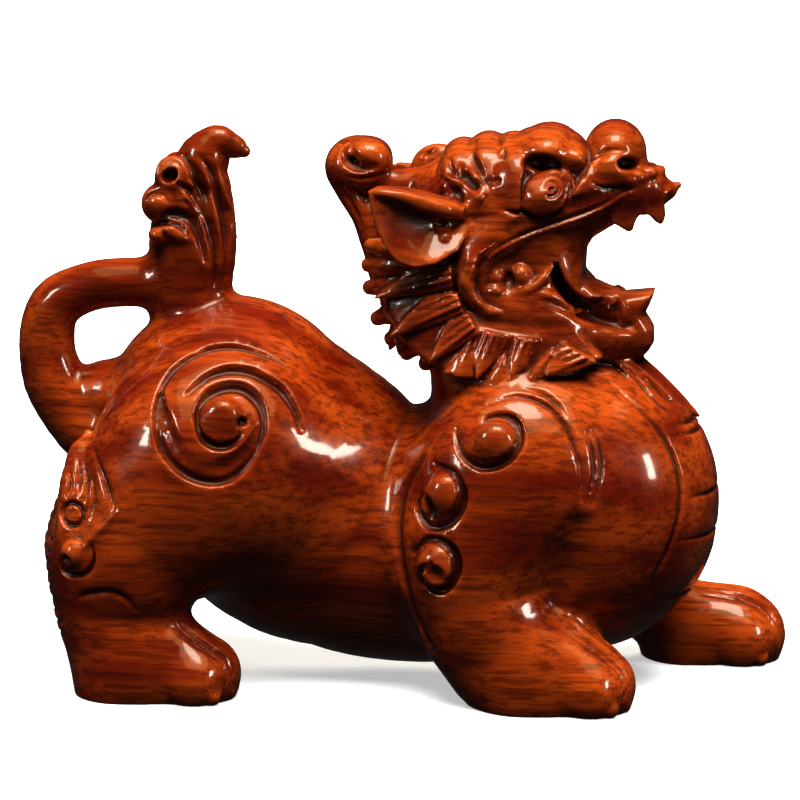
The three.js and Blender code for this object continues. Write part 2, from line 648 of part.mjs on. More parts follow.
// Plates down the chest, and the beard over them
function carveChest(block) {
  for (const side of SIDES) {
    const border = [
      [37, 15, 57], [41, 15, 53.7], [45.2, 14, 48.7], [48, 12, 42.5], [48.8, 11, 37.5], [48.2, 12, 32],
      [45.8, 14, 25.5], [43.8, 14, 20],
    ];
    engrave(block, mirrored(border, side), [-0.6, -0.8 * side, 0], GROOVE * 0.6, GROOVE * 0.7, 3);
  }
  for (const level of [49, 47.2, 37, 29.4, 19.5]) {
    const line = [];
    const wide = 12.5 - 0.004 * (level - 37) * (level - 37);
    for (let n = -6; n <= 6; n++) line.push([50, (n / 6) * wide, level]);
    engrave(block, line, [-1, 0, 0], GROOVE * 0.55, GROOVE * 0.65, 1);
  }
  for (const [y, tip] of [[-6.4, 50.6], [-2.2, 48.6], [2.2, 48.6], [6.4, 50.6]]) {
    const lean = 54 - Math.abs(y) * 0.5;
    block.add(lock([37, y * 0.8, 60], [lean - 3.4, y * 1.3, tip], [1, 0, 1.1], 2.6, 1.9), 0.5);
  }
}

// From the field to triangles

const CORNERS = [
  [0, 0, 0], [1, 0, 0], [1, 1, 0], [0, 1, 0], [0, 0, 1], [1, 0, 1], [1, 1, 1], [0, 1, 1],
];
// Each edge of a cube: its lower corner, and the axis that it runs along
const EDGES = [
  [0, 0], [1, 1], [3, 0], [0, 1], [4, 0], [5, 1], [7, 0], [4, 1], [0, 2], [1, 2], [2, 2], [3, 2],
];

// Marching cubes over the block: a closed mesh of shared points.
function meshOf(block) {
  const points = [];
  const faces = [];
  const numberOf = new Map();
  const stride = [1, block.nx, block.nx * block.ny];
  const pointOn = (i, j, k, [corner, axis]) => {
    const at = [i + CORNERS[corner][0], j + CORNERS[corner][1], k + CORNERS[corner][2]];
    const from = block.index(...at);
    const key = from * 3 + axis;
    if (!numberOf.has(key)) {
      const [a, b] = [block.field[from], block.field[from + stride[axis]]];
      at[axis] += clamp(a / (a - b), 0.05, 0.95);
      const { low, cell } = block;
      points.push([low.x + at[0] * cell, low.y + at[1] * cell, low.z + at[2] * cell]);
      numberOf.set(key, points.length - 1);
    }
    return numberOf.get(key);
  };
  const offsets = CORNERS.map(([a, b, c]) => a + b * stride[1] + c * stride[2]);
  for (let k = 0; k + 1 < block.nz; k++)
    for (let j = 0; j + 1 < block.ny; j++)
      for (let i = 0; i + 1 < block.nx; i++) {
        const at = block.index(i, j, k);
        let kind = 0;
        for (let n = 0; n < 8; n++) if (block.field[at + offsets[n]] < 0) kind |= 1 << n;
        for (let t = kind * 16; triTable[t] !== -1; t += 3) {
          const [a, b, c] = [triTable[t], triTable[t + 2], triTable[t + 1]];
          faces.push([a, b, c].map((e) => pointOn(i, j, k, EDGES[e])));
        }
      }
  return { points, faces };
}

// Only the largest shell of a mesh: crumbs, and voids shut in the wood, are left out.
function largestShell({ points, faces }) {
  const owner = points.map((_, n) => n);
  const find = (n) => {
    while (owner[n] !== n) {
      owner[n] = owner[owner[n]];
      n = owner[n];
    }
    return n;
  };
  for (const [a, b, c] of faces) {
    owner[find(b)] = find(a);
    owner[find(c)] = find(a);
  }
  const sizes = new Map();
  for (const [a] of faces) sizes.set(find(a), (sizes.get(find(a)) ?? 0) + 1);
  const [[largest]] = [...sizes].sort((p, q) => q[1] - p[1]);
  return { points, faces: faces.filter(([a]) => find(a) === largest) };
}

// Thinning by quadric errors: the edge whose loss moves the surface least goes first.
function thin({ points, faces }, target) {
  const quadrics = points.map(() => new Float64Array(10));
  const around = points.map(() => new Set());
  const alive = faces.map(() => true);
  const version = new Int32Array(points.length);
  faces.forEach((face, f) => {
    const q = planeQuadric(...face.map((n) => points[n]));
    for (const n of face) {
      around[n].add(f);
      for (let m = 0; m < 10; m++) quadrics[n][m] += q[m];
    }
  });
  const heap = new Heap();
  const offer = (a, b) => {
    const { cost, place } = bestPlace(quadrics[a], quadrics[b], points[a], points[b]);
    heap.push({ cost, place, a, b, va: version[a], vb: version[b] });
  };
  for (const [a, b, c] of faces)
    for (const [p, q] of [[a, b], [b, c], [c, a]]) if (p < q) offer(p, q);
  let left = faces.length;
  while (left > target && heap.size > 0) {
    const { place, a, b, va, vb } = heap.pop();
    if (version[a] !== va || version[b] !== vb || !around[a] || !around[b]) continue;
    if (!mayJoin(a, b, place, points, faces, around)) continue;
    for (const f of [...around[b]]) {
      if (around[a].has(f)) {
        alive[f] = false;
        left -= 1;
        for (const n of faces[f]) around[n].delete(f);
      } else {
        faces[f] = faces[f].map((n) => (n === b ? a : n));
        around[a].add(f);
      }
    }
    around[b] = null;
    points[a] = place;
    for (let m = 0; m < 10; m++) quadrics[a][m] += quadrics[b][m];
    version[a] += 1;
    for (const n of neighbours(a, faces, around)) offer(a, n);
  }
  return { points, faces: faces.filter((_, f) => alive[f]) };
}

function neighbours(a, faces, around) {
  const found = new Set();
  for (const f of around[a]) for (const n of faces[f]) if (n !== a) found.add(n);
  return found;
}

// The squared distance to a triangle's plane, weighted by its area, as ten coefficients
function planeQuadric(p, q, r) {
  const n = normalOf(p, q, r);
  const area = Math.hypot(...n);
  if (area === 0) return new Float64Array(10);
  const [a, b, c] = n.map((v) => v / area);
  const d = -(a * p[0] + b * p[1] + c * p[2]);
  return [a * a, a * b, a * c, a * d, b * b, b * c, b * d, c * c, c * d, d * d].map((v) => v * area);
}

function normalOf(p, q, r) {
  const [ux, uy, uz] = [q[0] - p[0], q[1] - p[1], q[2] - p[2]];
  const [vx, vy, vz] = [r[0] - p[0], r[1] - p[1], r[2] - p[2]];
  return [uy * vz - uz * vy, uz * vx - ux * vz, ux * vy - uy * vx];
}

// Where an edge's two points are best joined, drawn a little to its middle.
function bestPlace(qa, qb, p, q) {
  const k = qa.map((v, m) => v + qb[m]);
  const middle = [0, 1, 2].map((axis) => (p[axis] + q[axis]) / 2);
  const pull = MIDDLE_PULL * (k[0] + k[4] + k[7]) + 1e-9;
  const [a, b, c, e, f, h] = [k[0] + pull, k[1], k[2], k[4] + pull, k[5], k[7] + pull];
  const [x, y, z] = [pull * middle[0] - k[3], pull * middle[1] - k[6], pull * middle[2] - k[8]];
  const det = a * (e * h - f * f) - b * (b * h - f * c) + c * (b * f - e * c);
  const place = [
    (x * (e * h - f * f) - b * (y * h - f * z) + c * (y * f - e * z)) / det,
    (a * (y * h - z * f) - x * (b * h - f * c) + c * (b * z - y * c)) / det,
    (a * (e * z - f * y) - b * (b * z - y * c) + x * (b * f - e * c)) / det,
  ];
  const [u, v, w] = place;
  const cost =
    k[0] * u * u + 2 * k[1] * u * v + 2 * k[2] * u * w + 2 * k[3] * u +
    k[4] * v * v + 2 * k[5] * v * w + 2 * k[6] * v + k[7] * w * w + 2 * k[8] * w + k[9];
  const long = (p[0] - q[0]) ** 2 + (p[1] - q[1]) ** 2 + (p[2] - q[2]) ** 2;
  return { cost: cost + LENGTH_COST * long, place };
}

// Whether an edge can go: the surface stays closed, and no face turns over or thins to a needle.
function mayJoin(a, b, place, points, faces, around) {
  const near = neighbours(a, faces, around);
  let shared = 0;
  for (const n of neighbours(b, faces, around)) if (near.has(n)) shared += 1;
  if (shared !== 2) return false;
  for (const end of [a, b])
    for (const f of around[end]) {
      const face = faces[f];
      if (face.includes(a) && face.includes(b)) continue;
      const corners = face.map((n) => points[n]);
      const before = normalOf(...corners);
      const after = normalOf(...face.map((n) => (n === end ? place : points[n])));
      const [long, short] = [Math.hypot(...after), Math.hypot(...before)];
      const dot = before[0] * after[0] + before[1] * after[1] + before[2] * after[2];
      if (dot < LEAST_TURN * long * short) return false;
      let widest = 0;
      for (const n of face) {
        if (n === end) continue;
        const [x, y, z] = points[n];
        const apart = (x - place[0]) ** 2 + (y - place[1]) ** 2 + (z - place[2]) ** 2;
        widest = Math.max(widest, apart);
      }
      if (long < LEAST_HEIGHT * widest) return false;
    }
  return true;
}

// A queue that gives back its cheapest item first
class Heap {
  constructor() {
    this.items = [];
  }

  get size() {
    return this.items.length;
  }

  push(item) {
    const { items } = this;
    items.push(item);
    for (let n = items.length - 1; n > 0; ) {
      const up = (n - 1) >> 1;
      if (items[up].cost <= items[n].cost) break;
      [items[up], items[n]] = [items[n], items[up]];
      n = up;
    }
  }

  pop() {
    const { items } = this;
    const top = items[0];
    const last = items.pop();
    if (items.length === 0) return top;
    items[0] = last;
    for (let n = 0; ; ) {
      let least = n;
      for (const m of [2 * n + 1, 2 * n + 2])
        if (m < items.length && items[m].cost < items[least].cost) least = m;
      if (least === n) break;
      [items[least], items[n]] = [items[n], items[least]];
      n = least;
    }
    return top;
  }
}

function geometryOf({ points, faces }) {
  const used = new Map();
  const at = [];
  const index = [];
  for (const face of faces)
    for (const n of face) {
      if (!used.has(n)) {
        used.set(n, used.size);
        const [x, y, z] = points[n];
        at.push(x * UNIT, y * UNIT, z - SOLE < FLAT ? 0 : (z - SOLE) * UNIT);
      }
      index.push(used.get(n));
    }
  const geometry = new THREE.BufferGeometry();
  geometry.setAttribute("position", new THREE.Float32BufferAttribute(at, 3));
  geometry.setIndex(index);
  geometry.computeBoundingBox();
  const middle = geometry.boundingBox.getCenter(new THREE.Vector3());
  geometry.translate(-middle.x, -middle.y, 0);
  return geometry;
}

function figure() {
  const block = new Block(BLOCK_LOW, BLOCK_HIGH, CELL);
  carveTorso(block);
  carveForelegs(block);
  carveHindlegs(block);
  carveTail(block);
  carveNeck(block);
  carveRuff(block);
  carveHead(block);
  carveCrown(block);
  carveChest(block);
  carveSpirals(block);
  block.cut(ground(SOLE));
  return geometryOf(thin(largestShell(meshOf(block)), TRIANGLES));
}

const wood = new THREE.MeshStandardMaterial({ color: 0x8a2f0c, roughness: 0.25, metalness: 0 });
const pixiu = new THREE.Mesh(figure(), wood);
pixiu.name = "pixiu";
const group = new THREE.Group();
group.add(pixiu);
export default group;
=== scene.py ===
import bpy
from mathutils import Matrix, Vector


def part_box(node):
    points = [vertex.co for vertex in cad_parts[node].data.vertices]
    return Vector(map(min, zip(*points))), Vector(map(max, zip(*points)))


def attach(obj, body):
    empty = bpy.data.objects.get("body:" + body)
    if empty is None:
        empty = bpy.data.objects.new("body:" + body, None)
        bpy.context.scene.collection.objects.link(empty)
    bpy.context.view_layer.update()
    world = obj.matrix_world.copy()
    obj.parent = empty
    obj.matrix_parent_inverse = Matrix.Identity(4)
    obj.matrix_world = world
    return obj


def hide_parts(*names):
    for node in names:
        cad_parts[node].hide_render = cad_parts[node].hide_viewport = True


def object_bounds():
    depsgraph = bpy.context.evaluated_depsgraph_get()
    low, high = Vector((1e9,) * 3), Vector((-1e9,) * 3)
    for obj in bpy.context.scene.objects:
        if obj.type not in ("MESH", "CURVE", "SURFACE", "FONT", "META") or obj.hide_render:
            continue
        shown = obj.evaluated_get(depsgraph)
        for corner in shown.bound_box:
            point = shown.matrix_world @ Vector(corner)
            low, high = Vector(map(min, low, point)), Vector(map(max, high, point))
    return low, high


bl_info = {
    "name": "Rosewood Pixiu",
    "version": (1, 0, 0),
    "blender": (4, 5, 0),
    "location": "3D View > Sidebar > Pixiu",
    "description": "A pixiu carved from one block of polished rosewood, in a plain studio",
    "category": "Object",
}

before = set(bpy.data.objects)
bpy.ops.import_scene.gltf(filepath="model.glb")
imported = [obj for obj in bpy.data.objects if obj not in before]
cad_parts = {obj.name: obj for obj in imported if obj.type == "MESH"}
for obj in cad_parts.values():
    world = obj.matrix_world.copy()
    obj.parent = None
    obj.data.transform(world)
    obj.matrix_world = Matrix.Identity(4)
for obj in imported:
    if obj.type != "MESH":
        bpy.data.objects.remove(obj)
CAD_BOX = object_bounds()

import math

import bpy
import numpy as np
from bpy.props import FloatProperty, FloatVectorProperty, IntProperty, PointerProperty
from mathutils import Euler, Vector

# The figure is carved in hundredths of its height, +X ahead, +Y to its left, +Z up.
SOLE = 2.0  # level of the flat soles
TOP = 98.6  # level of the top of the nose
# Corners of the block that it is carved from
BLOCK_LOW = (-70.0, -30.0, -1.5)
BLOCK_HIGH = (71.0, 30.0, 101.5)

# Pose: how far the left paws are ahead of and behind the right ones
FORE_STRIDE = 24.0
HIND_STRIDE = 9.5

# Carving
GROOVE = 0.85  # radius of the round cut of a groove
SLOPE_ROUND = 0.45  # how deep a groove's slope is rounded, as a share of its width
GROOVE_BLEND = 0.45  # how far its edges are rounded over
END_WIDTH = 0.3  # how wide a carved line is at its ends, as a share of its width
TAPER = 3.0  # how many points of a line its ends fade over
RUFF_CENTRE = (18.4, 75.1)  # x and z that the ruff's locks fan out from
NAPE_LOCKS = 5  # in each of the rows over the nape
HATCHES = 9  # short cuts down the back of each hind leg

# Field of distances
FAR = 20.0  # its value far from the wood
REACH = 2.5  # how far beyond its blend a form's distances are worked out
TORSO_REACH = 10  # how far out the torso's distances are worked out, as other parts blend into it
LEG_REACH = 8
DRAPE_EASE = 0.3  # how loosely a draped surface keeps to its heights
# A height above a sloping surface overstates the distance to it, so less of it counts
PANEL_SLOPE = 0.85
PLEAT_SLOPE = 0.75
LOCK_SLOPE = 0.8
RELIEF_REACH = 1.3  # how far round a point its relief is judged, grooves below zero, ridges above
LEAST_SHRINK = 0.6  # a flattened limb's distances count at least this much
SLOPE_PROBE = 0.75  # how far to each side the field's slope is judged, in cells
LEAST_SLOPE = 0.05  # the square of a slope counts at least this much where a mesh settles

# A line that comes in to meet the wood
STAND_OFF = 45.0  # how far off the wood it starts
SIDE_START = 40  # how far from the middle it starts when it comes in from a side
STEP_SHARE = 0.5  # how much of the distance to the wood a step covers
SHORTEST_STEP = 0.04
LONGEST_STEP = 2.0
MOST_STEPS = 400
LAST_STEP = 0.01  # it stops where its next step would be no longer than this
ON_WOOD = 0.1  # how near the surface it then has to be

RIGHT = -1
LEFT = 1
SIDES = (RIGHT, LEFT)
ACROSS = (0, 1, 0)  # from one side to the other, in which the limbs are flattened


class Block:
    """A grid of distances to the surface of the wood, negative in it."""

    def __init__(self, low, high, cell):
        self.low = np.array(low)
        self.cell = cell
        self.counts = np.ceil((np.array(high) - self.low) / cell).astype(int) + 1
        self.field = np.full(self.counts, FAR, np.float32)

    def window(self, box, reach):
        """The part of the grid within reach of a box, and its coordinates."""
        first = np.maximum(np.floor((box[0] - reach - self.low) / self.cell).astype(int), 0)
        last = np.minimum(np.ceil((box[1] + reach - self.low) / self.cell).astype(int) + 1, self.counts)
        part = tuple(slice(a, b) for a, b in zip(first, last))
        axes = [self.low[n] + self.cell * np.arange(first[n], last[n]) for n in range(3)]
        x, y, z = (axis.astype(np.float32) for axis in axes)
        return part, x[:, None, None], y[None, :, None], z[None, None, :]

    def add(self, form, blend=0.0, reach=None):
        """Joins a form to the wood, with a fillet of about the blend's size."""
        part, *at = self.window(form.box, (blend + REACH) if reach is None else reach)
        self.field[part] = smooth_min(self.field[part], form.distance(*at), blend)

    def cut(self, form, blend=0.0):
        """Cuts a form out of the wood."""
        part, *at = self.window(form.box, blend + REACH)
        self.field[part] = -smooth_min(-self.field[part], form.distance(*at), blend)

    def value(self, points):
        """The field between the grid's points, at an array of places."""
        at = np.clip((points - self.low) / self.cell, 0, self.counts - 1.001)
        whole = at.astype(int)
        share = at - whole
        total = np.zeros(len(points))
        for corner in np.ndindex(2, 2, 2):
            weight = np.prod(np.where(corner, share, 1 - share), axis=1)
            i, j, k = (whole + corner).T
            total += weight * self.field[i, j, k]
        return total

    def surface(self, points, direction):
        """Where lines that come in along a direction first meet the wood, of those that start
        outside it and do."""
        points = points.astype(float)
        gone = np.zeros(len(points))
        for _ in range(MOST_STEPS):
            step = np.clip(self.value(points) * STEP_SHARE, 0.0, LONGEST_STEP)
            moving = (step > LAST_STEP) & (gone < 2 * STAND_OFF)
            if not moving.any():
                break
            points[moving] += direction * np.maximum(step[moving], SHORTEST_STEP)[:, None]
            gone += step
        points = points[np.abs(self.value(points)) < ON_WOOD]
        if not len(points):
            raise RuntimeError("a carved line misses the wood")
        return points

    def side_point(self, side, x, z):
        """The point of the wood that a line from one side meets at x and z."""
        start = np.array([[x, SIDE_START * side, z]])
        return self.surface(start, np.array([0, -side, 0], float))[0]


class Form:
    """A shape: a box that holds it, and the distance to its surface."""

    def __init__(self, box, distance):
        self.box = np.array(box, float)
        self.distance = distance


def smooth_min(a, b, blend):
    """The lesser of two distances, rounded where they are nearly the same."""
    if blend <= 0:
        return np.minimum(a, b)
    h = np.maximum(blend - np.abs(a - b), 0) / blend
    return np.minimum(a, b) - h * h * (blend * 0.25)


def lump(centre, radii, turn=(0.0, 0.0, 0.0)):
    """An ellipsoid, turned by degrees about Y (pitch), then Z (yaw), then X (roll)."""
    pitch, yaw, roll = (math.radians(v) for v in turn)
    rows = Euler((roll, pitch, yaw), "YZX").to_matrix().transposed()
    big = max(radii)
    centre = np.array(centre, float)

    def distance(x, y, z):
        x, y, z = x - centre[0], y - centre[1], z - centre[2]
        near = 0
        slope = 0
        for row, radius in zip(rows, radii):
            across = (row[0] * x + row[1] * y + row[2] * z) / radius
            near = near + across * across
            slope = slope + (across / radius) ** 2
        near = np.sqrt(near)
        return (near * (near - 1) / np.sqrt(np.maximum(slope, 1e-9))).astype(np.float32)

    return Form((centre - big, centre + big), distance)


def smooth_path(points, steps):
    """Points [x, y, z, radius] on a smooth curve through the given ones."""
    points = np.array(points, float)
    at = points[:, :3]
    ends = np.vstack([2 * at[0] - at[1], at, 2 * at[-1] - at[-2]])
    path = []
    for n in range(len(at) - 1):
        a, b, c, d = ends[n:n + 4]
        u, v, w = (math.sqrt(np.linalg.norm(q - p)) for p, q in ((a, b), (b, c), (c, d)))
        start = ((b - a) / u - (c - a) / (u + v) + (c - b) / v) * v
        end = ((c - b) / v - (d - b) / (v + w) + (d - c) / w) * v
        for m in range(steps + (n == len(at) - 2)):
            t = m / steps
            ease = t * t * (3 - 2 * t)
            place = b * (1 - ease) + c * ease
            place = place + start * (t * (1 - t) ** 2) + end * (t * t * (t - 1))
            path.append([*place, points[n][3] * (1 - ease) + points[n + 1][3] * ease])
    return np.array(path)


def limb(points, flat=None, steps=4):
    """A tube of changing radius through points [x, y, z, radius]. With flat = (direction, share),
    its thickness along that direction is only that share of its width."""
    path = smooth_path(points, steps)
    direction, share = flat if flat else ((0, 0, 0), 1.0)
    direction = np.array(direction, float) / max(np.linalg.norm(direction), 1e-9)
    stretch = 1 / share - 1
    shrink = max(share, LEAST_SHRINK)
    radius = path[:, 3:]
    box = ((path[:, :3] - radius).min(0), (path[:, :3] + radius).max(0))

    def distance(x, y, z):
        best = np.full((x.size, y.size, z.size), FAR, np.float32)
        for p, q in zip(path, path[1:]):
            margin = max(p[3], q[3]) + 2 * REACH
            part = tuple(
                near_slice(axis.ravel(), min(p[n], q[n]) - margin, max(p[n], q[n]) + margin)
                for n, axis in enumerate((x, y, z))
            )
            a, b, c = x[part[0]] - p[0], y[:, part[1]] - p[1], z[:, :, part[2]] - p[2]
            step = (q - p)[:3]
            long = float(step @ step) or 1e-9
            t = np.clip((a * step[0] + b * step[1] + c * step[2]) / long, 0, 1).astype(np.float32)
            a, b, c = a - t * step[0], b - t * step[1], c - t * step[2]
            if flat:
                along = (a * direction[0] + b * direction[1] + c * direction[2]) * stretch
                a, b, c = a + along * direction[0], b + along * direction[1], c + along * direction[2]
            d = np.sqrt(a * a + b * b + c * c) - (p[3] + t * (q[3] - p[3]))
            np.minimum(best[part], d, out=best[part])
        return best * np.float32(shrink)

    return Form(box, distance)


def near_slice(values, low, high):
    """The stretch of rising values from low to high"""
    return slice(int(np.searchsorted(values, low)), int(np.searchsorted(values, high)))


def plan_distance(outline, x, z):
    """How far points are outside an outline of [x, z] points, less than zero inside it."""
    near = np.full((x.size, 1, z.size), FAR, np.float32)
    inside = np.zeros(near.shape, bool)
    for (ax, az), (bx, bz) in zip(outline, np.roll(outline, -1, axis=0)):
        ex, ez = bx - ax, bz - az
        t = np.clip(((x - ax) * ex + (z - az) * ez) / (ex * ex + ez * ez), 0, 1)
        near = np.minimum(near, np.hypot(x - ax - t * ex, z - az - t * ez))
        if ez:
            inside ^= ((az > z) != (bz > z)) & (x < ax + (z - az) / ez * ex)
    return np.where(inside, -near, near)


def plate(outline, middle, half, margin=0.0, edge=0.0):
    """A plate across the figure: an outline of [x, z] points, thick by 2 * half about the
    plane y = middle(x). A margin draws the outline in, and an edge is rounded over."""
    outline = np.array(outline, float)
    x0, z0 = outline.min(0)
    x1, z1 = outline.max(0)
    ys = (middle(x0), middle(x1))
    box = ((x0, min(ys) - half, z0), (x1, max(ys) + half, z1))

    def distance(x, y, z):
        near = plan_distance(outline, x, z) + margin
        return (-smooth_min(-near, half - np.abs(y - middle(x)), edge)).astype(np.float32)

    return Form(box, distance)


def draped(heights):
    """The smooth surface through heights [x, z, y], as a function of x and z that gives y."""
    heights = np.array(heights, float)
    at = heights[:, :2]
    count = len(at)

    def pull(dx, dz):
        square = dx * dx + dz * dz
        return square * np.log(square + 1e-6)

    system = np.zeros((count + 3, count + 3))
    between = (at[:, None] - at[None]).transpose(2, 0, 1)
    system[:count, :count] = pull(*between) + DRAPE_EASE * np.eye(count)
    system[:count, count] = 1
    system[:count, count + 1:] = at
    system[count:, :count] = system[:count, count:].T
    weights = np.linalg.solve(system, np.append(heights[:, 2], (0, 0, 0)))

    def height(x, z):
        total = weights[count] + weights[count + 1] * x + weights[count + 2] * z
        for (px, pz), weight in zip(at, weights):
            total = total + weight * pull(x - px, z - pz)
        return total

    return height


def panel(outline, heights, side, low, edge, thick=FAR):
    """Wood on one side of the figure over an outline of [x, z] points, up to a smooth surface
    through heights, with its edge rounded. It starts at low, or a thickness under its surface."""
    outline = np.array(outline, float)
    top = draped(heights)
    x0, z0 = outline.min(0)
    x1, z1 = outline.max(0)
    high = max(h[2] for h in heights) + 1

    def distance(x, y, z):
        rise = side * y - top(x, z)
        shape = -smooth_min(-plan_distance(outline, x, z), -rise, edge)
        shape = np.maximum(shape, low - side * y)
        return (np.maximum(shape, -rise - thick) * PANEL_SLOPE).astype(np.float32)

    ys = sorted((side * low, side * high))
    return Form(((x0, ys[0], z0), (x1, ys[1], z1)), distance)


def disc(centre, radii, half, round_off):
    """A rounded disc across the figure, an ellipse about [x, z]."""
    cx, cz = centre
    rx, rz = radii

    def distance(x, y, z):
        out = (np.hypot((x - cx) / rx, (z - cz) / rz) - 1) * min(rx, rz) + round_off
        over = np.abs(y) - half + round_off
        away = np.hypot(np.maximum(out, 0), np.maximum(over, 0))
        return (np.minimum(np.maximum(out, over), 0) + away - round_off).astype(np.float32)

    return Form(((cx - rx, -half, cz - rz), (cx + rx, half, cz + rz)), distance)


def ground(level):
    """The lower half of space, under a level."""
    return Form(
        ((-200, -200, level - 200), (200, 200, level)),
        lambda x, y, z: np.broadcast_to(z - level, (x.size, y.size, z.size)).astype(np.float32),
    )


def lock(root, tip, out, width, thick, strands=0, depth=0.35):
    """A pointed, leaf-like lock of hair from root to tip, with a ridge that faces out. Its
    strands are grooves that run together at the tip."""
    root, tip = np.array(root, float), np.array(tip, float)
    axis = tip - root
    long = np.linalg.norm(axis)
    axis = axis / long
    side = np.cross(out, axis)
    side = side / np.linalg.norm(side)
    up = np.cross(axis, side)
    box = (np.minimum(root, tip) - width, np.maximum(root, tip) + width)

    def distance(x, y, z):
        x, y, z = x - root[0], y - root[1], z - root[2]
        t = (x * axis[0] + y * axis[1] + z * axis[2]) / long
        s = np.clip(t, -0.2, 1)
        along = np.clip(s, 0, 1)
        half = 0.1 + width * np.minimum(1, 0.42 + 1.1 * along) * (1 - along ** 2.2) ** 0.9
        deep = 0.2 + thick * (1 - along ** 3) ** 0.7
        u = np.abs(x * side[0] + y * side[1] + z * side[2]) / half
        v = np.abs(x * up[0] + y * up[1] + z * up[2]) / deep
        flat = (u + v - 1) * np.minimum(half, deep) * LOCK_SLOPE
        if strands:
            ridge = np.abs(np.sin(u * math.pi * strands)) ** 0.7
            flat = flat + depth * (1 - ridge) * np.clip(half / width * 1.6, 0, 1)
        e = (t - s) * long
        return np.where(e == 0, flat, np.hypot(np.maximum(flat, 0), e)).astype(np.float32)

    return Form(box, distance)


def mirrored(points, side):
    """Points given for the left side, as they are or mirrored to the right"""
    return [[p[0], p[1] * side, *p[2:]] for p in points]


def ahead(points, reach):
    """Points moved forward"""
    return [[p[0] + reach, *p[1:]] for p in points]


def upright(points, reach=0):
    """Points [x, z] in the middle plane of the figure, moved forward"""
    return [[x + reach, 0, z] for x, z in points]


def middle_plane(x):
    """The level y = 0 at any x, for a plate"""
    return 0 * x


def curl(centre, knots, step=7.0):
    """Points of a curl in an upright plane, from knots of [degrees, radius] about its centre."""
    cx, y, cz = centre
    path = []
    for n, ((a0, r0), (a1, r1)) in enumerate(zip(knots, knots[1:])):
        count = max(1, math.ceil(abs(a1 - a0) / step))
        for m in range(0 if n == 0 else 1, count + 1):
            t = m / count
            turn = math.radians(a0 + (a1 - a0) * t)
            r = r0 + (r1 - r0) * t
            path.append([cx + r * math.cos(turn), y, cz + r * math.sin(turn)])
    return path


def laid(block, points, direction, steps=1, stand_off=STAND_OFF):
    """Points of a smooth line, laid on the wood from a direction, and that direction."""
    toward = np.array(direction, float) / np.linalg.norm(direction)
    path = smooth_path([[*p[:3], 0] for p in points], steps)[:, :3]
    return block.surface(path - toward * stand_off, toward), toward


def faded(count, reach):
    """How wide a line is at each of its points, as a share, with a reach that its ends fade over"""
    from_end = np.minimum(np.arange(count), count - 1 - np.arange(count))
    return np.minimum(1, END_WIDTH + (1 - END_WIDTH) * from_end / max(1, min(reach, count / 3)))


def engrave(block, points, direction, width, depth, steps=1, stand_off=STAND_OFF,
            blend=GROOVE_BLEND, taper=TAPER, slope=0.0, middle=None):
    """A groove that follows points near the wood, laid on it from a direction. With a slope, the
    wood on the side of the middle rounds down to the groove over about that width."""
    on, toward = laid(block, points, direction, steps, stand_off)
    share = faded(len(on), taper * steps)
    path = on + toward * ((depth - width) * share)[:, None]
    if slope:
        across = np.cross(toward, np.gradient(on, axis=0))
        across /= np.linalg.norm(across, axis=1)[:, None]
        across *= np.sign(((np.array(middle) - on) * across).sum(1))[:, None]
        rise = (0.55 * depth - SLOPE_ROUND * slope) * share
        bevel = on + across * (0.7 * slope * share)[:, None] + toward * rise[:, None]
        block.cut(limb(np.column_stack([bevel, slope * share]), (toward, SLOPE_ROUND), 1), blend)
    block.cut(limb(np.column_stack([path, width * share]), steps=1), blend)


def emboss(block, points, direction, width, height, steps=1, blend=0.3):
    """A raised line that follows points near the wood."""
    on, toward = laid(block, points, direction, steps)
    share = faded(len(on), TAPER * steps)
    path = on + toward * ((width - height) * share)[:, None]
    block.add(limb(np.column_stack([path, width * share]), steps=1), blend)


# The parts of the figure


def carve_torso(block):
    """Barrel, chest and haunches"""
    barrel = [
        [-28.5, 0, 45, 22.4], [-17, 0, 33.4, 24.8], [-8.5, 0, 28.4, 22.3], [0.5, 0, 26.9, 22.4],
        [16, 0, 27.6, 22], [28, 0, 31.5, 21],
    ]
    block.add(limb(barrel, flat=(ACROSS, 0.74)), 0, TORSO_REACH)
    block.add(lump([31.8, 0, 33.8], [22.9, 20, 25]), 6, TORSO_REACH)
    for side in SIDES:
        block.add(lump([-28, 12 * side, 42], [17, 11.5, 16.6]), 8, TORSO_REACH)


def carve_paw(block, heel, toes, y, high=9.8):
    """A paw from heel to toes, with grooves between its tendons, and short claws"""
    middle = min(heel + 15.4, toes - 9.5)
    paw = [[heel + 9.8, y, 7, high], [middle, y, 7, 0.92 * high], [toes - 6.2, y, 6, 6.2]]
    block.add(limb(paw, flat=(ACROSS, 0.78)), 3)
    sole = [[heel + 8.4, y, 3.2, 8.2], [toes - 6.4, y, 3.2, 6]]
    block.add(limb(sole, flat=(ACROSS, 0.88)), 1)
    block.add(lump([toes - 6.6, y, 6.2], [6.6, 7.6, 5.8]), 2)
    for share in (-1, -0.34, 0.34, 1):
        back = 2.2 * share * share
        block.add(lump([toes - 4.6 - back, y + share * 5.5, 5], [3.8, 2.2, 3.8]), 1)
        block.add(lump([toes - 1.4 - back, y + share * 5.3, 3.6], [1.7, 1.5, 1.8]), 0.25)
    for share in (-0.68, 0, 0.68):
        for off in (-0.5, 0.5):
            line = []
            for back, level in ((12.2, 16), (8.6, 13.6), (5.7, 11.6), (2.4, 8.6), (0.4, 5)):
                line.append([toes - back, y + share * (5.6 - 0.08 * back) + off, level])
            engrave(block, line, [-0.6, 0, -1], 0.42, 0.6, 3, 6.0, 0.3)


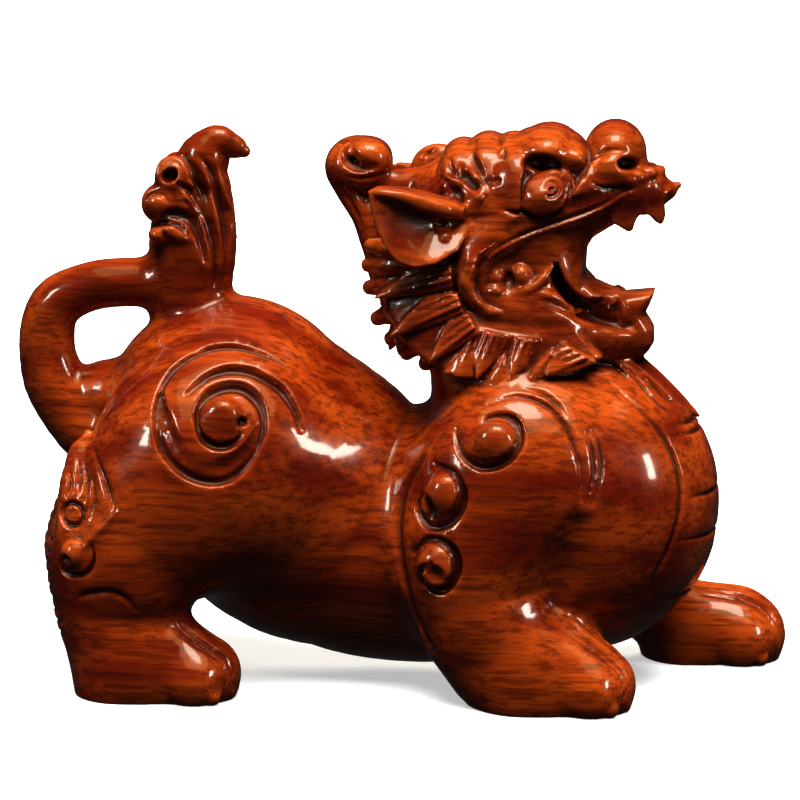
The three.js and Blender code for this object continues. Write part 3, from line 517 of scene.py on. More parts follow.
def carve_forelegs(block):
    """Shoulders and forelegs, the left one a stride ahead, with a lower paw"""
    for side in SIDES:
        block.add(lump([21, 12.5 * side, 41], [14, 9.5, 15]), 7, TORSO_REACH)
        reach = FORE_STRIDE if side == LEFT else 0
        leg = [
            [17, 14 * side, 38, 12.5], [14.4 + reach * 0.55, 15.8 * side, 29, 12],
            [14.8 + reach * 0.85, 16.6 * side, 19.6 - reach * 0.04, 10.4 - reach * 0.03],
            [22 + reach * 0.9, 16.8 * side, 12 - reach * 0.06, 9 - reach * 0.08],
        ]
        block.add(limb(leg, flat=(ACROSS, 0.76)), 5, LEG_REACH)
        if side == LEFT:
            instep = [[48.4, 16.8, 7, 7.2], [57.6, 16.8, 6.8, 7.3]]
            block.add(limb(instep, flat=(ACROSS, 0.95)), 2)
            carve_paw(block, 16.8 + reach, 41.4 + reach, 16.8, 7.6)
        else:
            heel = [[14.6, -16.8, 14, 7.8], [17.6, -16.8, 9, 7.5], [21, -16.8, 5.6, 6.2]]
            block.add(limb(heel, flat=(ACROSS, 0.84)), 2)
            carve_paw(block, 14.8, 41.4, -16.8)


def carve_hind_legs(block):
    """Hind legs, the left one a stride behind, with a crease over each heel"""
    for side in SIDES:
        reach = -HIND_STRIDE if side == LEFT else 0
        leg = [
            [-34, 14 * side, 38, 17.5], [-43 + reach * 0.4, 16.5 * side, 27, 14],
            [-46 + reach, 17.6 * side, 18, 10.4], [-43.8 + reach, 17.8 * side, 11, 9],
        ]
        block.add(limb(leg, flat=(ACROSS, 0.66)), 5, LEG_REACH)
        carve_paw(block, -53 + reach, -25 + reach * 1.72, 17.8 * side)
        crease = [
            [-51.4, 19.4], [-49.9, 20.6], [-47, 21.5], [-43.9, 21.5], [-42, 20.1], [-40.8, 18.2],
        ]
        engrave(block, upright(crease, reach), [0, -side, 0], 0.6, 0.5, 3, blend=0.5)


def carve_tail(block):
    """The tail's loop and its tuft"""
    tail = [
        [-44, 0, 38, 6.5], [-52, 0, 43, 6.4], [-58.6, 0, 50.5, 5.5], [-60.6, 0, 58, 4.8],
        [-59, 0, 65, 4.5], [-53, 0, 68.4, 4.2], [-45, 0, 69.4, 4.2], [-37, 0, 69, 5],
    ]
    block.add(limb(tail, flat=(ACROSS, 0.92)), 3)
    block.add(lump([-49.6, 0, 50.4], [6.4, 5, 5.4]), 2)
    tuft = [
        [-35.2, 0, 66, 6.5], [-35, 0, 76, 7.5], [-34.6, 0, 84, 6.4], [-33.4, 0, 89.6, 4.6],
        [-30.9, 0, 93.4, 3.1], [-28, 0, 93, 2.1], [-26, 0, 92.1, 1.1],
    ]
    block.add(limb(tuft, flat=(ACROSS, 0.72)), 2)
    for side in SIDES:
        carve_tuft(block, side)


def carve_tuft(block, side):
    """Curls and strands of the flame-like tuft on the tail"""
    facing = [0, -side, 0]

    def valley(points, width=1.0, depth=1.1):
        engrave(block, upright(points), facing, width, depth, 4, blend=0.6)

    block.add(lump([-37.8, 2 * side, 87.8], [3.2, 2.8, 3.2]), 0.8)
    block.add(lump([-40, 2.6 * side, 83.4], [3.2, 2.8, 3.4]), 0.9)
    for x, z, size in ((-39.9, 78.4, 1.8), (-37.9, 79.2, 1.6), (-36.2, 78.2, 1.4)):
        block.add(lump([x, 4.8 * side, z], [size, size * 0.8, size * 0.8]), 0.8)
    valley([[-36, 91.4], [-33.9, 89.2], [-32.5, 86.7], [-31.8, 84.2], [-30.9, 80.2]])
    valley([[-32.7, 91.2], [-30.9, 88.4], [-29.8, 84.2], [-28.9, 79.9], [-28.7, 75.7], [-29, 71]], 0.9)
    valley([[-34.6, 88.6], [-32.9, 85.9], [-31.9, 82.6]], 0.8, 0.9)
    valley([[-36.6, 87], [-34.5, 85.7], [-32.7, 83], [-31.2, 79.3], [-30.4, 75.1], [-30.6, 70]], 1, 1.3)
    valley([[-39.6, 81.5], [-38, 81.9], [-34.8, 81.2], [-33.1, 78.5], [-32, 74]], 1, 1.4)
    valley([[-35.4, 84.2], [-34, 82.2], [-33.4, 80.4]], 0.5, 0.7)
    valley([[-41.9, 82.4], [-42, 84], [-41, 85.2], [-39.4, 85.2], [-38.4, 84.2]], 0.4, 0.7)
    ring = [[-39.8, 87], [-40.1, 88.8], [-39.2, 90.4], [-37.6, 90.9], [-36, 90.2], [-35, 88.4]]
    emboss(block, upright(ring), facing, 0.7, 0.5, 3)
    block.cut(lump([-38, 4.6 * side, 88.4], [1.5, 2.4, 1.2], [-30, 0, 0]), 0.4)
    valley([[-40.8, 80], [-38.6, 80.4], [-36.4, 80.1], [-34.8, 78.4]], 0.6, 1)
    valley([[-38.8, 79.2], [-38.6, 77.6]], 0.4, 0.6)
    ridge = [[-30.8, 92.6], [-29.9, 88.3], [-29, 84.9], [-28.1, 81.4], [-27.7, 77.1]]
    emboss(block, upright(ridge), facing, 0.5, 0.4, 4)


# Curls down the shoulder: x, z and size of the knob of each, and the groove round it
SHOULDER_CURLS = (
    (18.7, 47.7, 3.7, [
        [11.9, 49.3], [13, 46], [16.5, 43.9], [20.9, 45.2], [22.8, 48.2], [21.6, 51.4], [18, 51.9],
        [15.9, 50.2],
    ]),
    (10.9, 39.2, 3.6, [
        [8.6, 43.9], [12.3, 42.8], [13.9, 38.8], [11.8, 34.8], [8.2, 33.6], [5.9, 35.8], [6.4, 38.6],
    ]),
    (9.6, 27.4, 3.5, [
        [5.1, 28.9], [8, 31.9], [12, 30.8], [13, 26.8], [10.6, 23.3], [7.4, 24.2], [6.6, 26.8],
        [8.6, 28.4],
    ]),
)


def carve_spirals(block):
    """Curls and long grooves cut in the haunches and shoulders"""
    for side in SIDES:
        facing = [0, -side, 0]

        def groove(points, width=GROOVE, depth=GROOVE * 1.3, slope=0.0, toward=None, blend=0.35):
            engrave(block, upright(points), facing, width, depth, 3,
                    blend=blend, slope=slope, middle=toward)

        groove([
            [-17.1, 57.9], [-19.9, 59.5], [-23.2, 60.6], [-26.6, 61.1], [-30.2, 60.6], [-33.2, 59.3],
            [-35.4, 57.6], [-36.9, 55.1], [-37.5, 52.3], [-37.2, 49.8],
        ], 0.7, 1)
        groove([
            [-37.2, 54], [-37.5, 51.6], [-37.1, 49.3], [-36.2, 46.5], [-34.5, 44.1], [-32, 42.1],
            [-29.1, 41], [-26.5, 40.9], [-24.1, 41.8], [-22.2, 43.6], [-20.6, 46], [-19.7, 49.1],
        ], 0.8, 1.2, 2.3, [-27, 20 * side, 51])
        groove([
            [-20.4, 46.4], [-19.6, 49.1], [-20, 51.7], [-21.4, 53.9], [-23.6, 55.3], [-26, 55.5],
            [-28.3, 54.7], [-29.9, 52.9], [-30.5, 51.1], [-30.2, 49.4],
        ], 1.05, 1.3)
        groove([
            [-30.4, 51.6], [-30.1, 49.2], [-28.9, 47.5], [-27, 46.6], [-25.1, 46.7], [-23.5, 47.7],
            [-22.8, 49.3],
        ], 0.75, 1.1)
        eye = block.side_point(side, -26.4, 51.2) - (0, side * 0.6, 0)
        block.add(lump(eye, [3, 1.7, 3]), 1.4)
        block.cut(lump(block.side_point(side, -23, 50.4), [0.9, 1.3, 0.8]), 0.4)
        crescent = [
            [-32.4, 54.6], [-30.7, 56.2], [-28.5, 57.4], [-25.9, 58], [-22.6, 57.6], [-20, 56.4],
            [-17.5, 54.7], [-15.8, 52.6], [-14.4, 50.3], [-13.8, 48.6],
        ]
        groove(crescent, 1, 1.3, 1.1, [-21, 18 * side, 62])
        for x, z, size, points in SHOULDER_CURLS:
            level = block.side_point(side, x, z)[1]
            block.add(lump([x, level - side * 0.6, z], [size, 2.3, size]), 1.4)
            groove(points, 0.65, 1.2, 0.9, [x, level, z])
        level = block.side_point(side, 8, 37)[1]
        block.cut(lump([8.1, level, 36.9], [1.1, 1.8, 2.4], [-20, 0, 0]), 0.4)
        block.cut(lump(block.side_point(side, 9.2, 26.2), [1.5, 1, 1.7]), 0.6)
        thin = GROOVE * 0.5
        groove([
            [17.1, 53.4], [21.3, 54.7], [25.2, 54], [28.6, 51.8], [31, 48], [32.4, 44.2], [33, 38.4],
        ], thin, thin * 1.7)
        groove([[22.6, 55.8], [25.8, 55.1], [28.6, 53.2], [30, 51.4]], thin, thin * 1.7)
        groove([[34.1, 49.3], [35.5, 46.3], [35.8, 42.1], [34.6, 37.4]], thin, thin * 1.7)
        groove([[33, 49.4], [34.3, 46.3], [34.7, 42.1], [33.8, 38]], thin, thin * 1.7)
        groove([[6.1, 43.8], [3.2, 38.6], [2.2, 32.6], [2.9, 26.8], [5, 18.6], [8.4, 12.6]],
               thin * 1.8, thin * 2, 2.6, [-12, 15 * side, 30], 0.8)
        front = FORE_STRIDE if side == LEFT else 0
        groove([[32.4, 34], [30.4 + front * 0.1, 27], [28.6 + front * 0.2, 21]], 3, 1, blend=3)
        carve_plume(block, side)


def carve_plume(block, side):
    """The tuft of hair up the back of a hind leg, with a ring, a curl and short hatching"""
    reach = -HIND_STRIDE * 0.4 if side == LEFT else 0
    facing = [0, -side, 0]
    plume = [
        [-50.4, 15.4, 46.4, 0.6], [-51.2, 17.4, 42, 2.6], [-51, 19.8, 37, 3.6], [-51, 21, 31, 3.9],
        [-51.4, 21.6, 26, 3.4],
    ]
    block.add(limb(ahead(mirrored(plume, side), reach), flat=(ACROSS, 0.6)), 0.6)
    for points in (
        [[-52.8, 41.4], [-52.1, 38.5], [-52.9, 36.4]], [[-51.4, 43], [-50.6, 39.6], [-51, 36.8]],
        [[-50.2, 42.6], [-49.2, 39], [-49.4, 36]], [[-48.8, 41], [-47.8, 37.6], [-48.2, 33.6]],
    ):
        engrave(block, upright(points, reach), facing, 0.4, 0.6, 4, blend=0.3)
    fringe = [[-48.8, 44.8], [-46.8, 41.7], [-45.2, 38.4], [-44, 35.2]]
    engrave(block, upright(fringe, reach), facing, 0.5, 0.5, 4)
    ring = curl([-51.6, 0, 34], [[0, 1.85], [372, 1.85]], 30)
    engrave(block, ahead(ring, reach), facing, 0.42, 0.75, 2, blend=0.15, taper=0.1)
    knob = block.side_point(side, -51 + reach, 27.6) - (0, 0.6 * side, 0)
    block.add(lump(knob, [2.6, 1.9, 2.5]), 0.4)
    hook = [[-54, 28], [-53.6, 25], [-51.6, 23.9], [-48.8, 24.8], [-47.6, 27.2], [-48, 29.6]]
    engrave(block, upright(hook, reach), facing, 0.5, 0.8, 3, blend=0.3)
    ridge = [[-49.8, 28.6], [-46.8, 31.8], [-43.6, 35.3]]
    emboss(block, upright(ridge, reach), facing, 0.8, 0.5, 3, blend=0.6)
    block.cut(lump(block.side_point(side, -52.6 + reach, 26.8), [0.8, 1.4, 0.8]), 0.3)
    for n in range(HATCHES):
        level = 29.4 - 2 * n
        tick = [
            [-60, side * (across + 0.1 * n), level - drop]
            for across, drop in ((15.6, 0), (18.6, 0.7), (21, 0.2))
        ]
        engrave(block, ahead(tick, reach), [1, 0, 0], 0.4, 0.55, 2, blend=0.25)


def carve_neck(block):
    """Neck from the shoulders up into the head"""
    neck = [[24, 0, 44, 16], [20, 0, 54, 13.6], [16, 0, 64, 12], [14.5, 0, 74, 11]]
    block.add(limb(neck), 5)


def pleat(outline, ridge, heights, side, strands=1.15):
    """A flat-sided lock of the ruff over an outline of [x, z] points, with striations that run
    along its ridge. Its heights are those of the ridge's ends and of its under side."""
    outline = np.array(outline, float)
    start, end = np.array(ridge, float)
    long = np.linalg.norm(end - start)
    ahead = (end - start) / long
    high, low, under = heights
    turn = np.sign(sum(
        a[0] * b[1] - b[0] * a[1] for a, b in zip(outline, np.roll(outline, -1, axis=0))
    ))

    def distance(x, y, z):
        plan = np.full((x.size, 1, z.size), -FAR, np.float32)
        for a, b in zip(outline, np.roll(outline, -1, axis=0)):
            edge = (b - a) / np.linalg.norm(b - a) * turn
            plan = np.maximum(plan, (x - a[0]) * edge[1] - (z - a[1]) * edge[0])
        t = ((x - start[0]) * ahead[0] + (z - start[1]) * ahead[1]) / long
        w = (x - start[0]) * ahead[1] - (z - start[1]) * ahead[0]
        top = high + (low - high) * t - 0.36 * np.abs(w)
        top = top - 0.22 * (1 - np.cos(2 * math.pi * w / strands)) * np.clip(1.3 - 1.7 * t, 0, 1)
        rise = side * y
        shape = np.maximum(np.maximum(plan, rise - top), under - rise)
        return (shape * PLEAT_SLOPE).astype(np.float32)

    x0, z0 = outline.min(0)
    x1, z1 = outline.max(0)
    ys = (side * under, side * (high + 1))
    return Form(((x0, min(ys), z0), (x1, max(ys), z1)), distance)


# The fan that the ruff's pleats lie on: its outline, and heights on it
RUFF_PLANE = (
    [12, 79], [4, 76.4], [-1.4, 71.6], [-0.8, 67.4], [1.4, 63.2], [5.4, 59.8], [9.6, 57.8],
    [13.4, 57], [17.2, 56.8], [22.4, 56.6], [27.6, 57.6], [31.6, 58], [35.4, 60], [30, 66], [20, 68],
)
RUFF_HEIGHTS = (
    [11, 77, 9.8], [4, 75, 9.8], [-1, 71, 9.4], [11, 72, 11], [4, 70, 11], [0.6, 65, 11.2],
    [12, 67.6, 12], [7, 65, 12.8], [5, 60.6, 13], [15, 64.6, 12.8], [11.6, 60.6, 13.9],
    [13, 57.4, 13.9], [18, 63.6, 12.9], [18, 58, 13.9], [23, 63, 12.4], [23, 57.6, 13.4],
    [28, 61, 11.6], [28, 58, 12.4], [33, 59.6, 10.4],
)


def carve_ruff(block):
    """Collar of pleated locks round the back of the cheeks, over a layer of rounded ones, and
    rows of locks over the nape"""
    block.add(disc([15, 71.4], [17, 13.6], 9.6, 5), 1.5)
    lobes = [
        [-3.6, 77.6], [-4, 74.4], [-3.8, 70.6], [-2.5, 65.4], [-0.2, 62], [2.4, 59.6], [5.6, 57.9],
        [9.2, 56.7], [13, 56], [17, 55.8], [21, 56.2], [25, 56.8],
    ]
    pleats = (
        ([[10.4, 75.6], [3.9, 74.9], [-2.8, 69.4], [10.6, 71]], [[10.6, 73.4], [-2.4, 69.6]]),
        ([[11.4, 71], [6.2, 70.1], [3, 67], [-0.1, 63.3], [13, 66.8]], [[11.8, 69], [0.2, 63.6]]),
        ([[13.4, 67.6], [9.6, 66.5], [8.4, 63.4], [6, 59], [15.4, 64]], [[14.2, 65.4], [6.2, 59.3]]),
        ([[14, 63.4], [11.6, 60.7], [9.2, 57.7], [12.4, 57.3], [14.5, 57]], [[13.8, 63.2], [12, 57.4]]),
        (
            [[20.6, 64], [15.4, 65], [14.4, 63.8], [14.4, 60], [14.8, 56.8], [17.4, 59.4]],
            [[17.6, 64.4], [14.9, 57]],
        ),
        (
            [[19.4, 61.3], [17.5, 58.6], [16.6, 56.3], [18.4, 56.4], [20.2, 56.8]],
            [[19.2, 61.2], [18.2, 56.5]],
        ),
        ([[25, 63.4], [21, 64], [20.3, 60.2], [20.1, 56.6], [23, 59]], [[22.8, 63.6], [20.3, 56.9]]),
        ([[27.6, 62.2], [25.2, 60.2], [23, 57], [24.5, 56.8], [26, 57.4]], [[27.4, 62], [24.2, 57]]),
        ([[29, 63], [27.2, 61], [26.2, 57.6], [30.2, 58], [34.6, 59.8]], [[32.6, 60.6], [26.8, 58.2]]),
    )
    cx, cz = RUFF_CENTRE
    for side in SIDES:
        for x, z in lobes:
            lobe = [
                [x + share * (cx - x), y * side, z + share * (cz - z), r]
                for share, y, r in ((0.5, 9, 3), (0.2, 8.2, 2.5))
            ]
            block.add(limb([*lobe, [x, 7 * side, z, 1.3]]), 0.2)
        block.add(panel(RUFF_PLANE, RUFF_HEIGHTS, side, 4, 1), 0.5)
        for n, (outline, ridge) in enumerate(pleats):
            front = 0.25 * max(0, n - 4)
            high, low = 13.2 + 0.5 * min(n, 2) - front, 11.8 + 1.8 * min(n, 2) - front
            block.add(pleat(outline, ridge, (high, low, low - 4), side), 0.15)
        band = [
            [11.6, 9.6, 67.4, 1.6], [14.6, 10.4, 64.8, 2.3], [18.4, 10.3, 63.3, 2.5],
            [22.6, 9.9, 62.9, 2.5], [26.6, 9, 61.7, 2.3], [30.6, 7.6, 60, 1.8],
        ]
        block.add(limb(mirrored(band, side)), 1)
    for n in range(NAPE_LOCKS):
        share = n / (NAPE_LOCKS - 1) * 2 - 1
        for x, z in ((-1.6, 62.4), (-3, 70), (-3, 77.6)):
            root = [x + 4, 7 * share, z + 6]
            tip = [x + 3 * share * share, 9 * share, z - 3]
            block.add(lock(root, tip, [-1, share * 0.5, 0.2], 3.4, 1.6, strands=2), 0.3)


def carve_head(block):
    """Skull, snout, open jaw, tongue and chin, then what is carved on each side"""
    block.add(lump([14.5, 0, 84], [12.5, 9.8, 9.6]), 3)
    block.add(lump([22, 0, 82], [13, 9.4, 11]), 2)
    snout = [[22, 0, 84.5, 9.4], [30, 0, 86, 7.8], [36.5, 0, 87, 6.2], [41.5, 0, 87, 4]]
    block.add(limb(snout), 3)
    block.add(lump([36.4, 0, 93], [5.2, 6.2, 5.6]), 1.4)
    block.add(limb([[41.5, 0, 86.6, 3.2], [44.5, 0, 86.6, 1.8], [46.9, 0, 87.7, 0.6]]), 1)
    jaw = [[13, 0, 69, 9], [23, 0, 67.5, 7.4], [32, 0, 64.4, 5.8], [38.6, 0, 62.4, 4.4]]
    block.add(limb(jaw), 3)
    mouth = [
        [31.8, 77], [31.4, 72.6], [33.6, 70.2], [37, 69.5], [43.6, 69.7], [60, 66],
        [60, 88], [44.4, 84.4], [40, 83.4], [36, 81], [33.2, 79.4],
    ]
    for side in SIDES:
        block.add(panel(LIP_PLANE, LIP_HEIGHTS, side, 3, 0.5), 0.4)
    block.cut(plate(mouth, middle_plane, 30), 0.4)
    block.add(limb([[26, 0, 71.5, 3.6], [33, 0, 68, 3.6], [38.5, 0, 67, 2.4]]), 0.6)
    chin = [
        [35, 69.7], [38, 69.6], [43.6, 70.2], [42.6, 67.6], [41.8, 66], [43.2, 63.8], [43.3, 61.2],
        [42, 59.4], [39.2, 58], [35, 60],
    ]
    block.add(plate(chin, middle_plane, 4.2, 0.1, 2.4), 1.2)
    for side in SIDES:
        carve_cheek(block, side)
        carve_mouth(block, side)
        carve_nose(block, side)
        carve_eye(block, side)
        carve_ear(block, side)


# The wide surface that runs in a C from the nose under the eye, round the corner of the mouth
# and on to the chin: its outline, and heights on it
CHEEK_PLANE = (
    [15.4, 85.2], [18, 84.9], [21.2, 83.9], [24.6, 83.7], [27.6, 84.7], [29.6, 86.8], [31.2, 89.6],
    [33.4, 92.4], [37, 91], [39.6, 88.2], [36.6, 86.6], [33.4, 85], [30, 83.6], [26.6, 82.4],
    [23.2, 81.2], [19.8, 79.6], [16.9, 77.6], [15.3, 75.2], [14.7, 73], [15.1, 71], [16.7, 69.2],
    [19.4, 68.6], [22.4, 69.2], [25.8, 69.6], [28.4, 68.4], [31, 66.4], [34.3, 64.9], [37, 64.2],
    [40.4, 63.6], [41, 59.4], [37.8, 57.5], [34.6, 57.8], [31.4, 59.8], [27.8, 62.2], [25.2, 63.5],
    [22.2, 63.9], [17, 64.6], [13.3, 66.4], [10.9, 69.2], [9.6, 73.1], [9.8, 76.4], [11.4, 80],
    [12.8, 82.8],
)
CHEEK_HEIGHTS = (
    [14, 84, 10], [18, 83.6, 10.9], [21.4, 82.9, 11.7], [24.7, 82.8, 11.8], [27.8, 84.1, 11.2],
    [29.8, 86.4, 10], [31.4, 89, 8.6], [34, 91.6, 6.8], [35.4, 88.6, 7.4], [38.6, 88.2, 6],
    [33, 86.6, 8.3], [30, 84.2, 9.3], [26.6, 82.5, 10.4], [23.2, 81.2, 11], [19.8, 79.8, 11.2],
    [16.8, 80.4, 12], [13.2, 80.4, 11.2], [10.6, 76.8, 10.6], [13.4, 76.6, 12.9], [15.8, 76.8, 12.2],
    [9.8, 73, 10.2], [12.2, 72.8, 13.1], [14.6, 73, 12.6], [11.2, 69.2, 10.4], [13.8, 69.6, 13],
    [16, 70, 12.6], [13.8, 66.4, 10], [16.6, 67.2, 12.7], [19.4, 68.6, 12.2], [18.6, 64.6, 9.8],
    [21, 66.6, 12.2], [24, 69, 11.4], [25.4, 63.6, 9], [26.4, 66.4, 11.3], [28.2, 68.4, 10],
    [29.8, 61, 7.6], [31.2, 63.8, 9.5], [34, 64.9, 7.6], [34.4, 58.2, 5.6], [36.2, 61.4, 7.2],
    [39.8, 58.6, 3.8], [40.4, 62, 5],
)
# The smooth hollow plane from the edge of the upper lip down to the corner of the mouth
LIP_PLANE = (
    [46.8, 88.1], [43, 88], [39.6, 87.8], [36.4, 87], [33, 86], [30, 84.6], [26.6, 83.4], [23.2, 82.2],
    [19, 80.6], [15, 78], [13.6, 74], [14.6, 70], [19, 68], [24, 68.4], [27.6, 67.6], [32.4, 66.6],
    [36, 67.4], [37, 70], [33.6, 71], [31.6, 74], [32.2, 78], [35, 80.4], [39.6, 82.8], [44.6, 84],
    [45.8, 86.6],
)
LIP_HEIGHTS = (
    [46.6, 87.8, 1], [43, 87.6, 3.4], [40, 87.4, 5.2], [38.2, 86.7, 6.2], [35.7, 85.2, 7.4],
    [32.9, 84, 8.5], [29.7, 82.9, 9.6], [26.6, 82, 10.4], [23.4, 80.8, 11], [20.1, 79, 11.4],
    [17.3, 77, 11.8], [15.7, 74.6, 12], [15.4, 71.6, 12], [43.6, 85.6, 2], [40.4, 85, 3.4],
    [37.4, 83.6, 4.4], [34.4, 81.8, 5.2], [31.4, 80, 6], [28.4, 79, 6.9], [25.4, 78, 7.8],
    [22.4, 76.8, 8.5], [19.6, 75.2, 9.2], [18.2, 73, 9.8], [32, 75, 5.8], [30, 75.6, 6.2],
    [27.6, 75.4, 7.8], [24.6, 74.6, 9.2], [21.6, 73, 10.2], [18.6, 70.6, 11.4], [22.4, 70.8, 11.2],
    [25.6, 71, 10.4], [28.4, 69.6, 9.2], [32, 72.4, 6.4], [32, 68.6, 7.6], [35.4, 69.4, 5.8],
    [35.6, 67, 6.4],
)


def carve_cheek(block, side):
    """The cheek's plane, and the crease between it and the lip's"""
    facing = [0, -side, 0]
    block.add(panel(CHEEK_PLANE, CHEEK_HEIGHTS, side, 3, 1.1), 0.3)
    crease = [
        [40.2, 87.8], [38.2, 87.2], [35.7, 85.7], [32.8, 84.4], [29.7, 83.3], [26.4, 82.2], [23, 81],
        [19.6, 79.4], [16.8, 77.5], [15.3, 75.4],
    ]
    engrave(block, upright(crease), facing, 0.5, 1.3, 3, blend=0.3, taper=8, slope=1.9,
            middle=[20, 10 * side, 90])
    inner = [[15.9, 76.4], [15, 74.4], [14.8, 72.4], [15.4, 70.6], [16.8, 69.2], [19, 68.4]]
    engrave(block, upright(inner), facing, 0.5, 0.6, 3, blend=0.8)


def carve_mouth(block, side):
    """Lips, teeth and the corner of the mouth"""

    def roll(points, blend=0.4):
        block.add(limb(mirrored(points, side)), blend)

    def ball(centre, radii, blend=0.5, turn=(0, 0, 0)):
        block.add(lump([centre[0], centre[1] * side, centre[2]], radii, turn), blend)

    def hollow(centre, radii, turn=(0, 0, 0), blend=0.8):
        block.cut(lump([centre[0], centre[1] * side, centre[2]], radii, turn), blend)

    hollow([19.6, 12, 73.2], [1.9, 2.6, 1.5], [20, 0, 0])
    ball([21.9, 9.6, 73.6], [1.5, 1.6, 2], 0.7, (-20, 0, 0))
    ball([17.5, 10.6, 71.2], [1.4, 1.6, 1.2], 0.8)
    ball([17.6, 9.8, 73.4], [1.4, 1.6, 1.2], 0.8)
    # Gap between the lower lip and the tongue
    gap = [
        [26.2, 75.4], [26.8, 71.9], [28.8, 69], [32.2, 67.2], [35.4, 67.3], [37, 69.4], [36.4, 70.4],
        [34.8, 69.5], [32.4, 69.4], [30.4, 70.6], [28.8, 72.8], [27.6, 75.8],
    ]
    block.cut(plate(gap, lambda x: side * 8.6, 3.8), 0.4)
    # Ridges of the lower lip
    roll([[20.4, 10.6, 70.6, 0.6], [23, 10.6, 71.4, 0.9], [25, 10, 72.8, 0.8], [26.6, 9, 75, 0.5]])
    roll([
        [22.4, 10.5, 69.6, 0.5], [25.6, 10.1, 70.5, 0.8], [27.8, 9.4, 69.7, 0.7], [29, 9, 68.6, 0.5],
    ])
    lip = [[29.4, 69], [31.9, 67.1], [34.6, 65.9], [37.2, 65.2], [40, 64.7]]
    engrave(block, upright(lip), [0, -side, 0], 0.9, 0.8, 3, blend=0.5)
    # Edge of the tongue, and the roll inside the lip's tip
    roll([
        [28.4, 4.2, 73, 0.9], [30.6, 4.3, 70.2, 1.1], [33.2, 4.3, 68.7, 1.1], [36.4, 4, 68.6, 0.9],
    ], 0.8)
    roll([[38.2, 4, 65, 0.7], [38.4, 4.2, 67, 0.7], [37.8, 4.2, 69, 0.5], [36.9, 4, 69.9, 0.3]], 0.3)
    # Broad teeth of the upper jaw
    teeth = [
        [36, 84], [38.2, 86], [44.5, 87], [46.2, 87.5], [45.2, 86.2], [44.7, 84.3], [44.9, 82],
        [44.3, 81.2], [43.3, 81.8], [42.2, 83], [40.8, 83], [40.2, 82.2], [39.8, 80.6], [39.1, 80.2],
        [37.8, 81], [36, 82.2],
    ]
    block.add(plate(teeth, lambda x: side * (4.4 - 0.4 * (x - 38)), 0.95, 0.1), 0.5)


def carve_nose(block, side):
    """Nostril, its wing, and the small knobs behind the tip of the lip"""
    facing = [0, -side, 0]
    block.add(lump([35.8, 5 * side, 90.8], [3.4, 2.4, 3]), 1)
    for points in (
        [[31.8, 89.4], [32.1, 91.4], [33.9, 93.2], [36.2, 94.2], [38.4, 94.1]],
        [[33, 90], [33.3, 91.7], [34.8, 93], [36.8, 93.5]],
        [[32.8, 89.4], [34.2, 88.3], [36.4, 87.9], [38.4, 88.1]],
    ):
        engrave(block, upright(points), facing, 0.36, 0.5, 4, blend=0.3)
    block.cut(lump([39, 5.4 * side, 91.7], [2.2, 2.4, 1.1], [12, 0, 0]), 0.5)
    for x, y, z, size in (
        (38.4, 4.8, 89, 1.3), (40.4, 3.8, 89.4, 1.2), (42.2, 2.6, 90, 1.1), (43.7, 1, 90, 0.9),
    ):
        block.add(lump([x, y * side, z], [size * 1.2, size, size]), 0.6)


def carve_eye(block, side):
    """Eye with its spiral lines, the brow, the strap behind it and the knot below that"""
    facing = [0, -side, 0]

    def hollow(centre, radii, turn=(0, 0, 0), blend=0.6):
        block.cut(lump([centre[0], centre[1] * side, centre[2]], radii, turn), blend)

    def line(points, width, depth, steps=3):
        engrave(block, [[p[0], 0, p[-1]] for p in points], facing, width, depth, steps, blend=0.25)

    brow = [
        [22.4, 3.4, 92.8, 3.8], [25.4, 3.8, 93.2, 4.3], [28, 3.6, 92.6, 3.6], [30, 4.4, 91.4, 1.8],
    ]
    block.add(limb(mirrored(brow, side), flat=(ACROSS, 1.25)), 1.6)
    strap = [
        [18.4, 95.6], [22.8, 95.8], [22.7, 93.6], [21.7, 89.4], [21.5, 84.6], [16.6, 84.6],
        [16.9, 88.6], [17.8, 92.8],
    ]
    heights = [
        [18.6, 95.4, 5], [22.6, 95.4, 4.8], [19.4, 94, 7.6], [22.4, 94, 7.4], [18.6, 91, 9.6],
        [21.4, 91, 10.1], [17.6, 87.6, 10.2], [21.2, 87.6, 11], [17.4, 85, 10.4], [21, 85, 11.2],
    ]
    block.add(panel(strap, heights, side, 2, 0.6), 0.3)
    hollow([25.2, 9.6, 91.9], [3.4, 3.8, 1.7], (8, 0, 0))
    block.add(lump([30.3, 6.4 * side, 92.6], [1.5, 1.5, 1.7]), 0.7)
    rim = [
        [21.8, 85, 11.3], [22.4, 88.8, 10.6], [24.2, 90.5, 9.2], [26.7, 91.2, 8.6], [29, 90.8, 8],
        [30.4, 89.2, 8], [30, 86.6, 8.8], [28.2, 84.6, 10.2], [24.6, 83.8, 11.4],
    ]
    ball = [[x, z] for x, z, _ in rim]
    block.add(panel(ball, [*rim, [26, 88, 11.6], [24, 86.4, 11.9]], side, 2, 0.5), 0.3)
    centre = [26.7, 0, 88.2]
    for off, reach, low, high in ((0.9, 3.7, -75, 80), (0.4, 2.5, -60, 120), (0, 1.1, -170, 190)):
        arc = [centre[0] - off, 0, centre[2] - off * 0.4]
        line(curl(arc, [[low, reach * 1.08], [high, reach]], 20), 0.28, 0.42, 2)
    block.cut(lump(block.side_point(side, 26.7, 88.2), [0.5, 0.9, 0.5]), 0.1)
    # Hooked hollows behind the strap, and the knot under them
    line([[17.2, 95], [18.4, 94.2], [18.3, 92.8], [17, 91.4], [16.4, 90]], 0.9, 1.5)
    hollow([17, 9.6, 89.2], [1.3, 1.8, 0.8], blend=0.4)
    block.add(lump([14.9, 9.4 * side, 86.5], [1.7, 1.6, 1.7]), 0.4)
    line(curl([14.9, 0, 86.5], [[100, 1], [-190, 0.9]], 30), 0.3, 0.45, 2)


